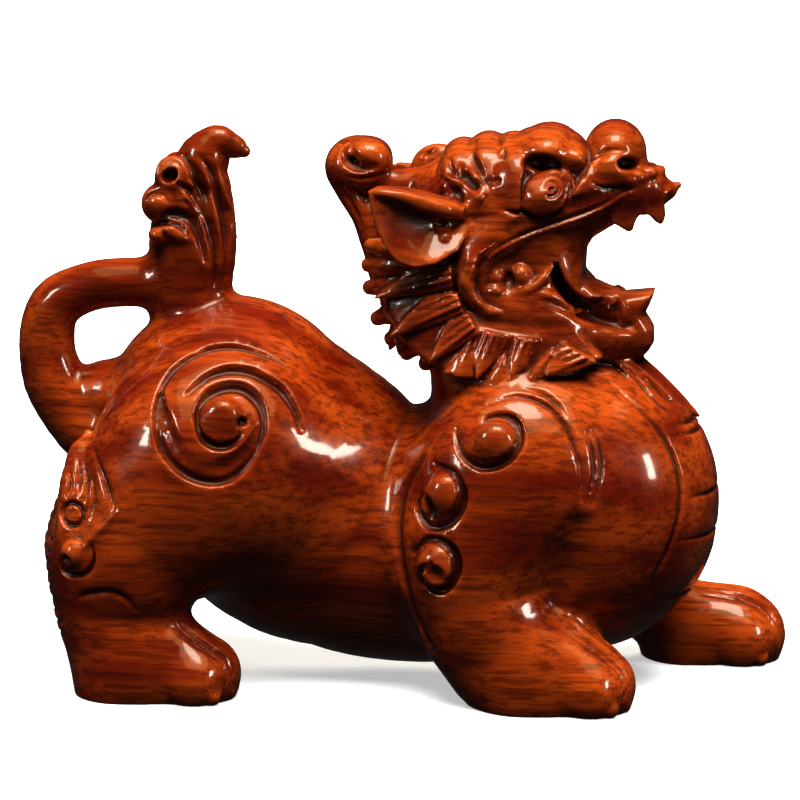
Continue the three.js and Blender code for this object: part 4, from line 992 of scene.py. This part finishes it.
def carve_ear(block, side):
    """A leaf-shaped ear, hollowed under its rolled upper edge"""
    leaf = [
        [-3, 87.9], [-1.6, 88.6], [0.2, 88.6], [2.6, 88.3], [5.4, 87.6], [8, 86.8], [12.6, 85.2],
        [13.6, 82], [11.6, 78], [8, 76], [4.8, 75.5], [2, 76.3], [0.1, 78.4], [-1.5, 81.5], [-2.5, 84.7],
    ]
    bowl = [
        [-2.6, 87, 15.7], [-2.2, 84.6, 15.9], [-1.2, 81.6, 16.2], [0.4, 78.6, 16.3], [2.4, 76.6, 16.2],
        [4.9, 75.9, 15.8], [8, 76.4, 14.9], [10.6, 78, 13.7], [1.6, 86.6, 14], [5, 85.6, 12.4],
        [8, 84.4, 11.2], [0.4, 83.4, 14.8], [2, 80.6, 15], [4.4, 78.6, 14.9], [7, 78.2, 13.9],
        [4, 82.6, 13.2], [6.4, 81, 12.4], [9.4, 82.4, 10.4], [9.4, 79.8, 12.4], [12.8, 82.4, 10.8],
    ]
    block.add(panel(leaf, bowl, side, 7.4, 0.5, 2.2), 0.8)
    rim = [
        [-3, 87.9], [-1.6, 88.6], [0.2, 88.6], [2.6, 88.3], [5.4, 87.6], [8, 86.8], [12.8, 85.2],
        [12.6, 82.6], [10, 83.3], [7.7, 83.9], [5.3, 84.7], [2.6, 86], [0.2, 86.7], [-1.8, 87],
    ]
    crest = [
        [-2.8, 87.8, 15.8], [-0.6, 87.8, 15.9], [2, 87.4, 15.7], [5, 86.5, 15.1], [8, 85.4, 14.4],
        [10.6, 84.4, 13.4], [12.8, 83.8, 11], [2.6, 88.2, 15.4], [8, 86.7, 14], [2.6, 86.2, 15.6],
        [7.7, 84.1, 14.2],
    ]
    block.add(panel(rim, crest, side, 7.4, 1.2, 2.6), 0.3)
    block.cut(lump([8.9, 13.4 * side, 82], [1.9, 3.4, 1.2], [24, 0, 0]), 0.4)
    block.add(lump([9.3, 11.4 * side, 79.7], [1.2, 1.4, 1.5]), 0.4)
    block.add(lump([7.6, 12 * side, 78.2], [1.3, 1, 1]), 0.4)


def carve_crown(block):
    """Rolls of hair over the crown, the horn with its curl, and the shell behind the left ear"""
    for x, z, r, wide in ((11, 91.8, 3.4, 5), (15.3, 92.6, 3.7, 5), (19.6, 92.8, 3.6, 4)):
        arch = [
            [x - 0.6, wide + 2, z - 3.4, r * 0.7], [x, wide - 1, z - 0.8, r * 0.95], [x, 0, z, r],
        ]
        block.add(limb(arch + mirrored(arch[1::-1], RIGHT)), 0.5)
    temple = [
        [6.4, 86], [8.6, 90.4], [11, 92.8], [15, 93.8], [18.4, 94.2], [18.6, 90], [17.6, 84.4],
        [12, 83.4], [8, 84.6],
    ]
    heights = [
        [7, 86.4, 5], [9.2, 90.6, 4.8], [12, 92.8, 5.6], [15, 93.4, 6.2], [18, 94, 6.6],
        [18.4, 90, 9.2], [17.4, 86, 10.2], [12, 84.8, 10.2], [9, 86, 8], [13, 89, 8.8],
        [10.6, 89.4, 7.4], [15.6, 90.4, 8.7],
    ]
    waves = (
        [[8, 89.4], [9.6, 88.4], [11.4, 86.6], [12, 85.2]],
        [[11.4, 91.4], [12.2, 89.6], [14, 88.2], [14.4, 87.4]],
        [[13.4, 95], [13.4, 92.6], [14.8, 90.6], [16, 88.8]],
        [[9.4, 92.4], [9.8, 90.6], [11.6, 89.4]],
    )
    for side in SIDES:
        block.add(panel(temple, heights, side, 2, 1), 0.8)
        for points in waves:
            engrave(block, upright(points), [0, -side, 0], 0.7, 0.9, 3, blend=0.6)
    block.add(lump([-0.6, 0, 81], [4.4, 4.4, 7]), 1.5)
    horn = [[12, 0, 87.6, 3.6], [5, 0, 87.2, 3], [-1, 0, 87.4, 2.4], [-5, 0, 88.4, 2.2]]
    block.add(limb(horn), 1.2)
    strand = [
        [-1.5, 0, 72, 3.4], [-3.4, 0, 77, 2.8], [-5.6, 0, 82, 2.4], [-8.4, 0, 86.6, 2.4],
        [-9.4, 0, 90.4, 2.4],
    ]
    block.add(limb(strand, flat=(ACROSS, 1.35)), 1)
    block.add(lump([-6.6, 0, 89.8], [5.7, 4.4, 5.4]), 0.8)
    for side in SIDES:
        facing = [0, -side, 0]
        block.add(lump([-4.4, 1.6 * side, 91.6], [3.2, 2.4, 3]), 1.4)
        hook = [[-7.6, 94], [-8.4, 92.8], [-8.2, 91.4], [-7, 90.4], [-5, 90], [-3, 90.2]]
        engrave(block, upright(hook), facing, 0.7, 1.2, 3, taper=9, slope=1.4,
                middle=[-4.6, 4 * side, 92.4])
        block.cut(lump([-7.1, 5 * side, 91.2], [1.5, 3, 0.8], [30, 0, 0]), 0.4)
        for points in (
            [[-10.7, 89.4], [-10.6, 91.4], [-9.6, 93.4], [-7.6, 94.9], [-5.4, 95.2]],
            [[-8.4, 88.8], [-6, 88.5], [-3.6, 88.8], [-1.2, 89.6]],
            [[-7.6, 88], [-6.4, 86.2], [-4.8, 83.4]],
            [[-9.8, 88.4], [-8, 85.2], [-6.4, 82.2], [-5.2, 79]],
        ):
            engrave(block, upright(points), facing, 0.36, 0.5, 3, blend=0.3)
    block.add(lump([6, 8.4, 88.3], [4.9, 2, 4.6]), 0.8)
    for points in ([[3.6, 90], [4.6, 91.4], [6, 92.2]], [[7.6, 92], [7, 90.4], [6.8, 88.8]]):
        engrave(block, upright(points), [0, 1, 0], 0.4, 0.6, 3, blend=0.3)


def carve_chest(block):
    """Plates down the chest, and the beard over them"""
    border = [
        [36.3, 9, 56], [40.6, 10.6, 52.4], [44.1, 11, 49.1], [46.9, 11.5, 44.2], [48.5, 12.7, 39.1],
        [48.3, 13.8, 33.9], [46.4, 14.8, 28.1], [44.6, 15, 24.4], [44.2, 13.8, 20.4],
    ]
    for side in SIDES:
        engrave(block, mirrored(border, side), [-0.5, -0.85 * side, 0], 0.5, 0.7, 3, blend=0.3)
    for level, wide in ((48.4, 9.4), (46.8, 9.8), (36.9, 12), (29.8, 13.6), (19.5, 13)):
        line = [[50, n / 6 * wide, level + 0.4 * (n / 6) ** 2] for n in range(-6, 7)]
        engrave(block, line, [-1, 0, 0], 0.42, 0.6, 2, blend=0.3)
    for y, (x0, z0), (x1, z1), wide in (
        (3.9, (36.6, 59.6), (48.9, 50), 3.8), (-3.9, (36.6, 59.6), (48.9, 50), 3.8),
        (0, (38, 60), (51.2, 48.4), 4.4),
    ):
        beard = lock([x0, y, z0], [x1, y, z1], [1, y * 0.12, 1.1], wide, 1.3, strands=4, depth=0.3)
        block.add(beard, 0.4)
    for side in SIDES:
        for points in (
            [[38.7, 57.9], [41.3, 55.2], [44.7, 51.9], [47.4, 49.9]],
            [[40, 58.2], [42.9, 55.2], [45.3, 52.9], [47.4, 51.4]],
        ):
            engrave(block, upright(points), [0, -side, 0], 0.4, 0.8, 3, blend=0.3)


def carved_block(cell):
    """The whole figure as a field of distances"""
    block = Block(BLOCK_LOW, BLOCK_HIGH, cell)
    carve_torso(block)
    carve_forelegs(block)
    carve_hind_legs(block)
    carve_tail(block)
    carve_neck(block)
    carve_ruff(block)
    carve_head(block)
    carve_crown(block)
    carve_chest(block)
    carve_spirals(block)
    block.cut(ground(SOLE))
    return block


# From the field to a mesh


def surface_of(block):
    """Points and four-sided faces of the field's surface, one point in each cell that it crosses."""
    field = block.field
    inside = field < 0
    corners = list(np.ndindex(2, 2, 2))
    cells = tuple(n - 1 for n in field.shape)
    count = np.zeros(cells, np.uint8)
    for corner in corners:
        count += inside[tuple(slice(c, c + n) for c, n in zip(corner, cells))]
    found = np.argwhere((count > 0) & (count < 8))
    number = np.full(cells, -1, np.int32)
    number[tuple(found.T)] = np.arange(len(found))
    total = np.zeros((len(found), 3))
    crossings = np.zeros(len(found))
    for corner in corners:
        for axis in range(3):
            if corner[axis]:
                continue
            start = found + corner
            end = start.copy()
            end[:, axis] += 1
            a, b = field[tuple(start.T)], field[tuple(end.T)]
            crossed = (a < 0) != (b < 0)
            share = np.where(crossed, a / np.where(crossed, a - b, 1), 0)
            place = np.array(corner) + np.zeros((len(found), 3))
            place[:, axis] += share
            total += place * crossed[:, None]
            crossings += crossed
    points = block.low + (found + total / crossings[:, None]) * block.cell
    faces = []
    for axis in range(3):
        u, v = (axis + 1) % 3, (axis + 2) % 3
        near = [slice(1, -1)] * 3
        near[axis] = slice(0, -1)
        far = list(near)
        far[axis] = slice(1, None)
        a, b = inside[tuple(near)], inside[tuple(far)]
        for leaving in (True, False):
            edge = np.argwhere(a & ~b if leaving else b & ~a)
            edge[:, u] += 1
            edge[:, v] += 1
            ring = []
            for du, dv in ((-1, -1), (0, -1), (0, 0), (-1, 0)):
                cell = edge.copy()
                cell[:, u] += du
                cell[:, v] += dv
                ring.append(number[tuple(cell.T)])
            ring = np.stack(ring, axis=1)
            faces.append(ring if leaving else ring[:, ::-1])
    return points, np.concatenate(faces)


def settled(block, points, rounds=2):
    """Points drawn onto the surface along the field's slope."""
    for _ in range(rounds):
        slope = np.empty_like(points)
        for axis in range(3):
            step = np.zeros(3)
            step[axis] = block.cell * SLOPE_PROBE
            rise = block.value(points + step) - block.value(points - step)
            slope[:, axis] = rise / (2 * step[axis])
        length = np.maximum((slope ** 2).sum(1), LEAST_SLOPE)
        shift = np.clip(block.value(points) / length, -block.cell * 0.5, block.cell * 0.5)
        points = points - slope * shift[:, None]
    return points


def softened(field, radius):
    """The field's mean over a cube of 2 * radius + 1 cells."""
    soft = np.clip(field, -FAR / 4, FAR / 4)
    for axis in range(3):
        pad = [(0, 0)] * 3
        pad[axis] = (radius + 1, radius)
        total = np.cumsum(np.pad(soft, pad, mode="edge"), axis=axis, dtype=np.float64)
        count = soft.shape[axis]
        high = np.take(total, range(2 * radius + 1, 2 * radius + 1 + count), axis=axis)
        low = np.take(total, range(count), axis=axis)
        soft = ((high - low) / (2 * radius + 1)).astype(np.float32)
    return soft


def deselect():
    for chosen in bpy.context.selected_objects:
        chosen.select_set(False)


def choose(piece):
    """Makes a piece the active one, and the only one selected."""
    deselect()
    piece.select_set(True)
    bpy.context.view_layer.objects.active = piece


def mesh_piece(name, points, faces):
    mesh = bpy.data.meshes.new(name)
    mesh.from_pydata(points.tolist(), [], faces.tolist())
    mesh.validate()
    piece = bpy.data.objects.new(name, mesh)
    bpy.context.collection.objects.link(piece)
    return piece


def keep_largest(piece):
    """Leaves out the crumbs of a mesh, and what isn't joined to its largest shell."""
    name = piece.name
    choose(piece)
    bpy.ops.object.mode_set(mode="EDIT")
    bpy.ops.mesh.select_all(action="SELECT")
    bpy.ops.mesh.separate(type="LOOSE")
    bpy.ops.object.mode_set(mode="OBJECT")
    shells = sorted(bpy.context.selected_objects, key=lambda o: len(o.data.vertices))
    for crumb in shells[:-1]:
        bpy.data.objects.remove(crumb)
    shells[-1].name = name
    choose(shells[-1])
    return shells[-1]


# Materials


def node(tree, kind, at, **settings):
    made = tree.nodes.new(kind)
    made.location = at
    for name, value in settings.items():
        setattr(made, name, value)
    return made


def math_node(tree, at, operation, *values):
    """A Math node. A value is a number, or the output socket that feeds it."""
    made = node(tree, "ShaderNodeMath", at, operation=operation)
    for socket, value in zip(made.inputs, values):
        if isinstance(value, (int, float)):
            socket.default_value = value
        else:
            tree.links.new(value, socket)
    return made.outputs[0]


def noise_node(tree, at, vector, detail, roughness=0.5, scale=1.0):
    """A Noise Texture node at the places that a vector socket gives."""
    made = node(tree, "ShaderNodeTexNoise", at)
    made.inputs["Scale"].default_value = scale
    made.inputs["Detail"].default_value = detail
    made.inputs["Roughness"].default_value = roughness
    tree.links.new(vector, made.inputs["Vector"])
    return made


def ramp_node(tree, at, factor, low, high):
    """Turns a factor's stretch from low to high into 0 to 1, smoothly."""
    made = node(tree, "ShaderNodeMapRange", at, interpolation_type="SMOOTHSTEP")
    made.inputs["From Min"].default_value = low
    made.inputs["From Max"].default_value = high
    tree.links.new(factor, made.inputs["Value"])
    return made.outputs["Result"]


def grain_group():
    """Wood grain along X: bands, veins, fibres and pores."""
    group = bpy.data.node_groups.new("wood_grain", "ShaderNodeTree")
    sockets = group.interface
    sockets.new_socket("Place", in_out="INPUT", socket_type="NodeSocketVector")
    for name, default in (("Band width", 0.012), ("Vein width", 0.0015), ("Waviness", 0.006)):
        sockets.new_socket(name, in_out="INPUT", socket_type="NodeSocketFloat").default_value = default
    for name in ("Band", "Vein", "Fibre", "Pore"):
        sockets.new_socket(name, in_out="OUTPUT", socket_type="NodeSocketFloat")
    inputs = node(group, "NodeGroupInput", (-1400, 0)).outputs
    outputs = node(group, "NodeGroupOutput", (900, 0)).inputs

    wander = noise_node(group, (-1200, -200), inputs["Place"], 2.0, scale=16.0)
    centred = node(group, "ShaderNodeVectorMath", (-1000, -200), operation="SUBTRACT")
    group.links.new(wander.outputs["Color"], centred.inputs[0])
    centred.inputs[1].default_value = (0.5, 0.5, 0.5)
    pushed = node(group, "ShaderNodeVectorMath", (-850, -200), operation="SCALE")
    group.links.new(centred.outputs[0], pushed.inputs[0])
    group.links.new(inputs["Waviness"], pushed.inputs["Scale"])
    place = node(group, "ShaderNodeVectorMath", (-700, 0), operation="ADD")
    group.links.new(inputs["Place"], place.inputs[0])
    group.links.new(pushed.outputs[0], place.inputs[1])
    axes = node(group, "ShaderNodeSeparateXYZ", (-550, 0))
    group.links.new(place.outputs[0], axes.inputs[0])
    x, y, z = axes.outputs

    def stretched(width, along, at):
        """Places measured in widths across the grain, and in many widths along it."""
        made = node(group, "ShaderNodeCombineXYZ", at)
        long = math_node(group, (at[0] - 150, at[1] + 120), "DIVIDE", x, along)
        side = math_node(group, (at[0] - 150, at[1]), "DIVIDE", y, width)
        rise = math_node(group, (at[0] - 150, at[1] - 120), "DIVIDE", z, width)
        for socket, value in zip(made.inputs, (long, side, rise)):
            group.links.new(value, socket)
        return made.outputs[0]

    vein_long = math_node(group, (0, 500), "MULTIPLY", inputs["Vein width"], 22.0)
    band_long = math_node(group, (0, 700), "MULTIPLY", inputs["Band width"], 12.0)
    # Width and length of each figure of the grain, its noise's detail and roughness, and the
    # stretch of the noise that shows it
    for name, row, width, long, detail, roughness, low, high in (
        ("Band", 500, inputs["Band width"], band_long, 3.0, 0.5, 0.34, 0.66),
        ("Vein", 200, inputs["Vein width"], vein_long, 4.0, 0.6, 0.56, 0.36),
        ("Fibre", -100, 0.00045, 0.012, 2.0, 0.5, 0.3, 0.7),
        ("Pore", -400, 0.00022, 0.0022, 1.0, 0.5, 0.36, 0.24),
    ):
        places = stretched(width, long, (250, row))
        noise = noise_node(group, (350, row), places, detail, roughness)
        mask = ramp_node(group, (600, row), noise.outputs["Fac"], low, high)
        group.links.new(mask, outputs[name])
    return group


def mix_colour(tree, at, factor, a, b, blend="MIX"):
    """Colour a mixed with colour b. Each is a colour, or the output socket that feeds it."""
    made = node(tree, "ShaderNodeMix", at, data_type="RGBA", blend_type=blend)
    for socket, value in zip((made.inputs[0], made.inputs[6], made.inputs[7]), (factor, a, b)):
        if isinstance(value, bpy.types.NodeSocket):
            tree.links.new(value, socket)
        else:
            socket.default_value = value
    return made.outputs[2]


def wood_material(look):
    """Rosewood under a clear varnish: banded heartwood with dark veins, darkened in the grooves with
    painted shade and old wax, and rubbed lighter on the ridges"""
    material = bpy.data.materials.new("polished_rosewood")
    material.use_nodes = True
    tree = material.node_tree
    tree.nodes.clear()
    out = node(tree, "ShaderNodeOutputMaterial", (1500, 0))
    shader = node(tree, "ShaderNodeBsdfPrincipled", (1200, 0))
    tree.links.new(shader.outputs["BSDF"], out.inputs["Surface"])
    place = node(tree, "ShaderNodeTexCoord", (-900, 0))
    grain = node(tree, "ShaderNodeGroup", (-600, 0), node_tree=grain_group())
    tree.links.new(place.outputs["Object"], grain.inputs["Place"])
    relief = node(tree, "ShaderNodeAttribute", (-600, -400), attribute_name="relief")

    wood = mix_colour(tree, (-300, 200), grain.outputs["Band"], look.heartwood, look.sapwood)
    vein = math_node(tree, (-300, -50), "MULTIPLY", grain.outputs["Vein"], look.vein_strength)
    wood = mix_colour(tree, (0, 200), vein, wood, look.vein)
    fibre = math_node(tree, (0, -50), "MULTIPLY_ADD", grain.outputs["Fibre"], 0.3, 0.82)
    shade = node(tree, "ShaderNodeCombineColor", (150, -50))
    for socket in shade.inputs:
        tree.links.new(fibre, socket)
    wood = mix_colour(tree, (300, 200), 1.0, wood, shade.outputs[0], "MULTIPLY")
    # Painted shade: the grooves are darkened towards near-black, partly as old wax lodged in them and
    # partly as the shade that falls in them
    groove = ramp_node(tree, (0, -300), relief.outputs["Fac"], -0.02, -0.32)
    groove = math_node(tree, (200, -300), "MULTIPLY", groove, look.wax_and_shade_strength)
    wood = mix_colour(tree, (500, 200), groove, wood, look.wax_and_shade)
    rubbed = ramp_node(tree, (0, -500), relief.outputs["Fac"], 0.08, 0.4)
    rubbed = math_node(tree, (200, -500), "MULTIPLY", rubbed, look.rubbed_strength)
    wood = mix_colour(tree, (700, 200), rubbed, wood, look.rubbed)
    tree.links.new(wood, shader.inputs["Base Color"])

    smears = noise_node(tree, (0, -700), place.outputs["Object"], 4.0, scale=60.0)
    rough = math_node(tree, (300, -650), "MULTIPLY_ADD", smears.outputs["Fac"], 0.14, 0.16)
    rough = math_node(tree, (450, -650), "MULTIPLY_ADD", groove, 0.2, rough)
    tree.links.new(rough, shader.inputs["Roughness"])
    coat = math_node(tree, (450, -800), "MULTIPLY_ADD", groove, -0.7, look.varnish)
    tree.links.new(coat, shader.inputs["Coat Weight"])
    shader.inputs["Coat Roughness"].default_value = look.varnish_roughness
    shader.inputs["Specular IOR Level"].default_value = 0.25

    height = math_node(tree, (500, -900), "MULTIPLY", grain.outputs["Pore"], -1.0)
    height = math_node(tree, (650, -900), "MULTIPLY_ADD", grain.outputs["Vein"], -0.25, height)
    bump = node(tree, "ShaderNodeBump", (850, -700))
    bump.inputs["Strength"].default_value = 0.12
    bump.inputs["Distance"].default_value = 0.0002
    tree.links.new(height, bump.inputs["Height"])
    tree.links.new(bump.outputs["Normal"], shader.inputs["Normal"])
    return material


def floor_material(look):
    """Pale studio floor that glows a little, so the shadow on it stays pale"""
    material = bpy.data.materials.new("studio_floor")
    material.use_nodes = True
    shader = material.node_tree.nodes["Principled BSDF"]
    shader.inputs["Base Color"].default_value = look.floor_colour
    shader.inputs["Roughness"].default_value = 0.6
    shader.inputs["Specular IOR Level"].default_value = 0.2
    shader.inputs["Emission Color"].default_value = look.floor_colour
    shader.inputs["Emission Strength"].default_value = look.floor_glow
    return material


# Sizes and colours


class PixiuSizes(bpy.types.PropertyGroup):
    height: FloatProperty(
        name="Height", description="From the soles to the top of the nose",
        default=CAD_BOX[1].z - CAD_BOX[0].z, unit="LENGTH",
    )
    cell: FloatProperty(
        name="Carving step", description="Spacing of the grid that the figure is carved in",
        default=0.00055, precision=5, unit="LENGTH",
    )
    triangles: IntProperty(
        name="Triangles", description="How many triangles the finished surface keeps", default=192000,
    )


class PixiuLook(bpy.types.PropertyGroup):
    heartwood: FloatVectorProperty(
        name="Heartwood", description="Red-brown of the darker bands", subtype="COLOR", size=4,
        min=0, max=1, default=(0.16, 0.012, 0.002, 1.0),
    )
    sapwood: FloatVectorProperty(
        name="Light wood", description="Orange of the lighter bands", subtype="COLOR", size=4,
        min=0, max=1, default=(0.43, 0.066, 0.006, 1.0),
    )
    vein: FloatVectorProperty(
        name="Veins", description="Dark brown of the veins", subtype="COLOR", size=4,
        min=0, max=1, default=(0.06, 0.006, 0.002, 1.0),
    )
    vein_strength: FloatProperty(
        name="Vein strength", description="How strongly the veins show", default=0.6, min=0, max=1,
    )
    # Painted shade: this near-black and its strength darken the grooves, partly as old wax and partly as
    # the shade in them
    wax_and_shade: FloatVectorProperty(
        name="Patina", description="Near-black of the old wax in the grooves", subtype="COLOR", size=4,
        min=0, max=1, default=(0.02, 0.002, 0.001, 1.0),
    )
    wax_and_shade_strength: FloatProperty(
        name="Patina strength", description="How dark the deepest grooves are", default=0.8, min=0, max=1,
    )
    rubbed: FloatVectorProperty(
        name="Rubbed wood", description="Paler orange of the ridges that hands have rubbed",
        subtype="COLOR", size=4, min=0, max=1, default=(0.62, 0.13, 0.02, 1.0),
    )
    rubbed_strength: FloatProperty(
        name="Rubbed strength", description="How pale the sharpest ridges are",
        default=0.22, min=0, max=1,
    )
    varnish: FloatProperty(
        name="Varnish", description="How strong the clear coat is outside the grooves",
        default=0.8, min=0, max=1,
    )
    varnish_roughness: FloatProperty(
        name="Varnish roughness", description="How blurred its reflections are",
        default=0.07, min=0, max=1,
    )
    floor_colour: FloatVectorProperty(
        name="Floor", description="Colour of the studio's floor", subtype="COLOR", size=4,
        min=0, max=1, default=(0.85, 0.85, 0.84, 1.0),
    )
    floor_size: FloatProperty(
        name="Floor size", description="Side of the studio's floor", default=12.0, unit="LENGTH",
    )
    floor_glow: FloatProperty(
        name="Floor glow", description="How strongly the floor shines by itself", default=0.5, min=0,
    )
    sun_power: FloatProperty(
        name="Sun", description="Strength of the broad lamp overhead", default=7.4, min=0,
    )
    sun_angle: FloatProperty(
        name="Sun angle", description="How broad that lamp looks from the figure",
        default=math.radians(50), subtype="ANGLE",
    )
    room_light: FloatProperty(
        name="Room light", description="Strength of the light from all round", default=0.03, min=0,
    )
    azimuth: FloatProperty(
        name="Camera azimuth", description="How far the camera stands towards the figure's front",
        default=math.radians(7), subtype="ANGLE",
    )
    elevation: FloatProperty(
        name="Camera elevation", description="How far the camera looks down",
        default=math.radians(12), subtype="ANGLE",
    )
    distance: FloatProperty(
        name="Camera distance", description="From the camera to the figure's middle",
        default=0.9246, unit="LENGTH",
    )
    lens: FloatProperty(name="Lens", description="Focal length in millimetres", default=153.72)


# Studio

SUN_DIRECTION = (-0.08, 0.2, -1)
BOX_AIM = (0, 0, 0.07)  # what the soft boxes point at
CAMERA_AIM = (0.0003, 0, 0.0765)
WHITE = (1.0, 0.92, 0.8)
AMBER = (1.0, 0.6, 0.22)
BACK_BOX = "back_box"  # it lights the wood, and the others only gleam in its varnish
# Name, place, power, width, height and colour of each soft box
SOFT_BOXES = (
    ("left_box", (-0.75, -0.75, 0.55), 3.0, 0.16, 0.3, WHITE),
    ("right_box", (0.95, -0.55, 0.45), 2.4, 0.12, 0.3, WHITE),
    ("top_box", (0.1, -0.45, 1.0), 4.5, 0.5, 0.36, WHITE),
    ("warm_box", (0.1, -0.5, 1.15), 9.0, 1.4, 1.0, AMBER),
    (BACK_BOX, (0.0, 0.9, 0.8), 9.0, 0.6, 0.4, WHITE),
)


def hung(name, data, place, direction):
    """A lamp or camera at a place, turned in a direction"""
    thing = bpy.data.objects.new(name, data)
    bpy.context.collection.objects.link(thing)
    thing.location = place
    thing.rotation_euler = Vector(direction).to_track_quat("-Z", "Y").to_euler()
    return thing


# Operators


class PIXIU_OT_carve_figure(bpy.types.Operator):
    """Carve the figure out of one block of rosewood"""

    bl_idname = "pixiu.carve_figure"
    bl_label = "Carve figure"

    def execute(self, context):
        sizes = context.scene.pixiu_sizes
        unit = sizes.height / (TOP - SOLE)
        block = carved_block(sizes.cell * 1.0 / unit)
        points, faces = surface_of(block)
        points = settled(block, points)
        points[:, 2] = np.maximum(points[:, 2], SOLE)
        points = (points - (0, 0, SOLE)) * unit
        middle = (points.min(0) + points.max(0)) / 2
        low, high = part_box("pixiu")
        shift = np.array([(low.x + high.x) / 2 - middle[0], (low.y + high.y) / 2 - middle[1], 0])
        points += shift
        piece = keep_largest(mesh_piece("pixiu_figure", points, faces))
        count = sum(len(p.vertices) - 2 for p in piece.data.polygons)
        if count > sizes.triangles:
            thinner = piece.modifiers.new("thinner", "DECIMATE")
            thinner.ratio = sizes.triangles / count
            bpy.ops.object.modifier_apply(modifier=thinner.name)
        bpy.ops.object.shade_smooth()
        places = np.empty(len(piece.data.vertices) * 3)
        piece.data.vertices.foreach_get("co", places)
        places = (places.reshape(-1, 3) - shift) / unit + (0, 0, SOLE)
        # The relief measure feeds the painted shade and wax in the grooves, and the rubbed wear on the
        # ridges
        block.field = softened(block.field, round(RELIEF_REACH / block.cell))
        relief = piece.data.attributes.new("relief", "FLOAT", "POINT")
        relief.data.foreach_set("value", block.value(places).astype(np.float32))
        piece.data.materials.append(wood_material(context.scene.pixiu_look))
        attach(piece, "root")
        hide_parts("pixiu")
        return {"FINISHED"}


class PIXIU_OT_set_stage(bpy.types.Operator):
    """Lay the floor, hang the lights and set up the camera"""

    bl_idname = "pixiu.set_stage"
    bl_label = "Set stage"

    def execute(self, context):
        look = context.scene.pixiu_look
        deselect()
        bpy.ops.mesh.primitive_plane_add(size=look.floor_size, location=(0, 0, 0))
        floor = context.object
        floor.name = "studio_floor"
        floor.data.materials.append(floor_material(look))
        floor.visible_diffuse = False
        floor.visible_glossy = False
        world = bpy.data.worlds.new("studio")
        context.scene.world = world
        world.use_nodes = True
        background = world.node_tree.nodes["Background"]
        background.inputs["Color"].default_value = (1, 1, 1, 1)
        background.inputs["Strength"].default_value = look.room_light
        sun = bpy.data.lights.new("overhead", "SUN")
        sun.energy = look.sun_power
        sun.angle = look.sun_angle
        hung("overhead", sun, (0, 0, 0), SUN_DIRECTION).visible_glossy = False
        for name, place, power, width, height, colour in SOFT_BOXES:
            data = bpy.data.lights.new(name, "AREA")
            data.energy = power
            data.color = colour
            data.shape = "RECTANGLE"
            data.size = width
            data.size_y = height
            box = hung(name, data, place, Vector(BOX_AIM) - Vector(place))
            box.visible_diffuse = name == BACK_BOX
            box.visible_glossy = name != BACK_BOX
        back = Vector((
            math.sin(look.azimuth) * math.cos(look.elevation),
            -math.cos(look.azimuth) * math.cos(look.elevation),
            math.sin(look.elevation),
        ))
        data = bpy.data.cameras.new("camera")
        data.sensor_width = 36
        data.lens = look.lens
        data.clip_end = 20
        place = Vector(CAMERA_AIM) + back * look.distance
        context.scene.camera = hung("camera", data, place, -back)
        context.scene.view_settings.view_transform = "Standard"
        context.scene.view_settings.look = "Medium High Contrast"
        return {"FINISHED"}


OPERATORS = (PIXIU_OT_carve_figure, PIXIU_OT_set_stage)


class PIXIU_PT_workshop(bpy.types.Panel):
    """Lists what the workshop makes"""

    bl_label = "Pixiu"
    bl_idname = "PIXIU_PT_workshop"
    bl_space_type = "VIEW_3D"
    bl_region_type = "UI"
    bl_category = "Pixiu"

    def draw(self, context):
        for operator in OPERATORS:
            self.layout.operator(operator.bl_idname)


CLASSES = (PixiuSizes, PixiuLook, *OPERATORS, PIXIU_PT_workshop)


def register():
    for cls in CLASSES:
        bpy.utils.register_class(cls)
    bpy.types.Scene.pixiu_sizes = PointerProperty(type=PixiuSizes)
    bpy.types.Scene.pixiu_look = PointerProperty(type=PixiuLook)


def unregister():
    del bpy.types.Scene.pixiu_look
    del bpy.types.Scene.pixiu_sizes
    for cls in reversed(CLASSES):
        bpy.utils.unregister_class(cls)


def main():
    register()
    bpy.ops.pixiu.carve_figure()
    bpy.ops.pixiu.set_stage()


if __name__ == "__main__":
    main()
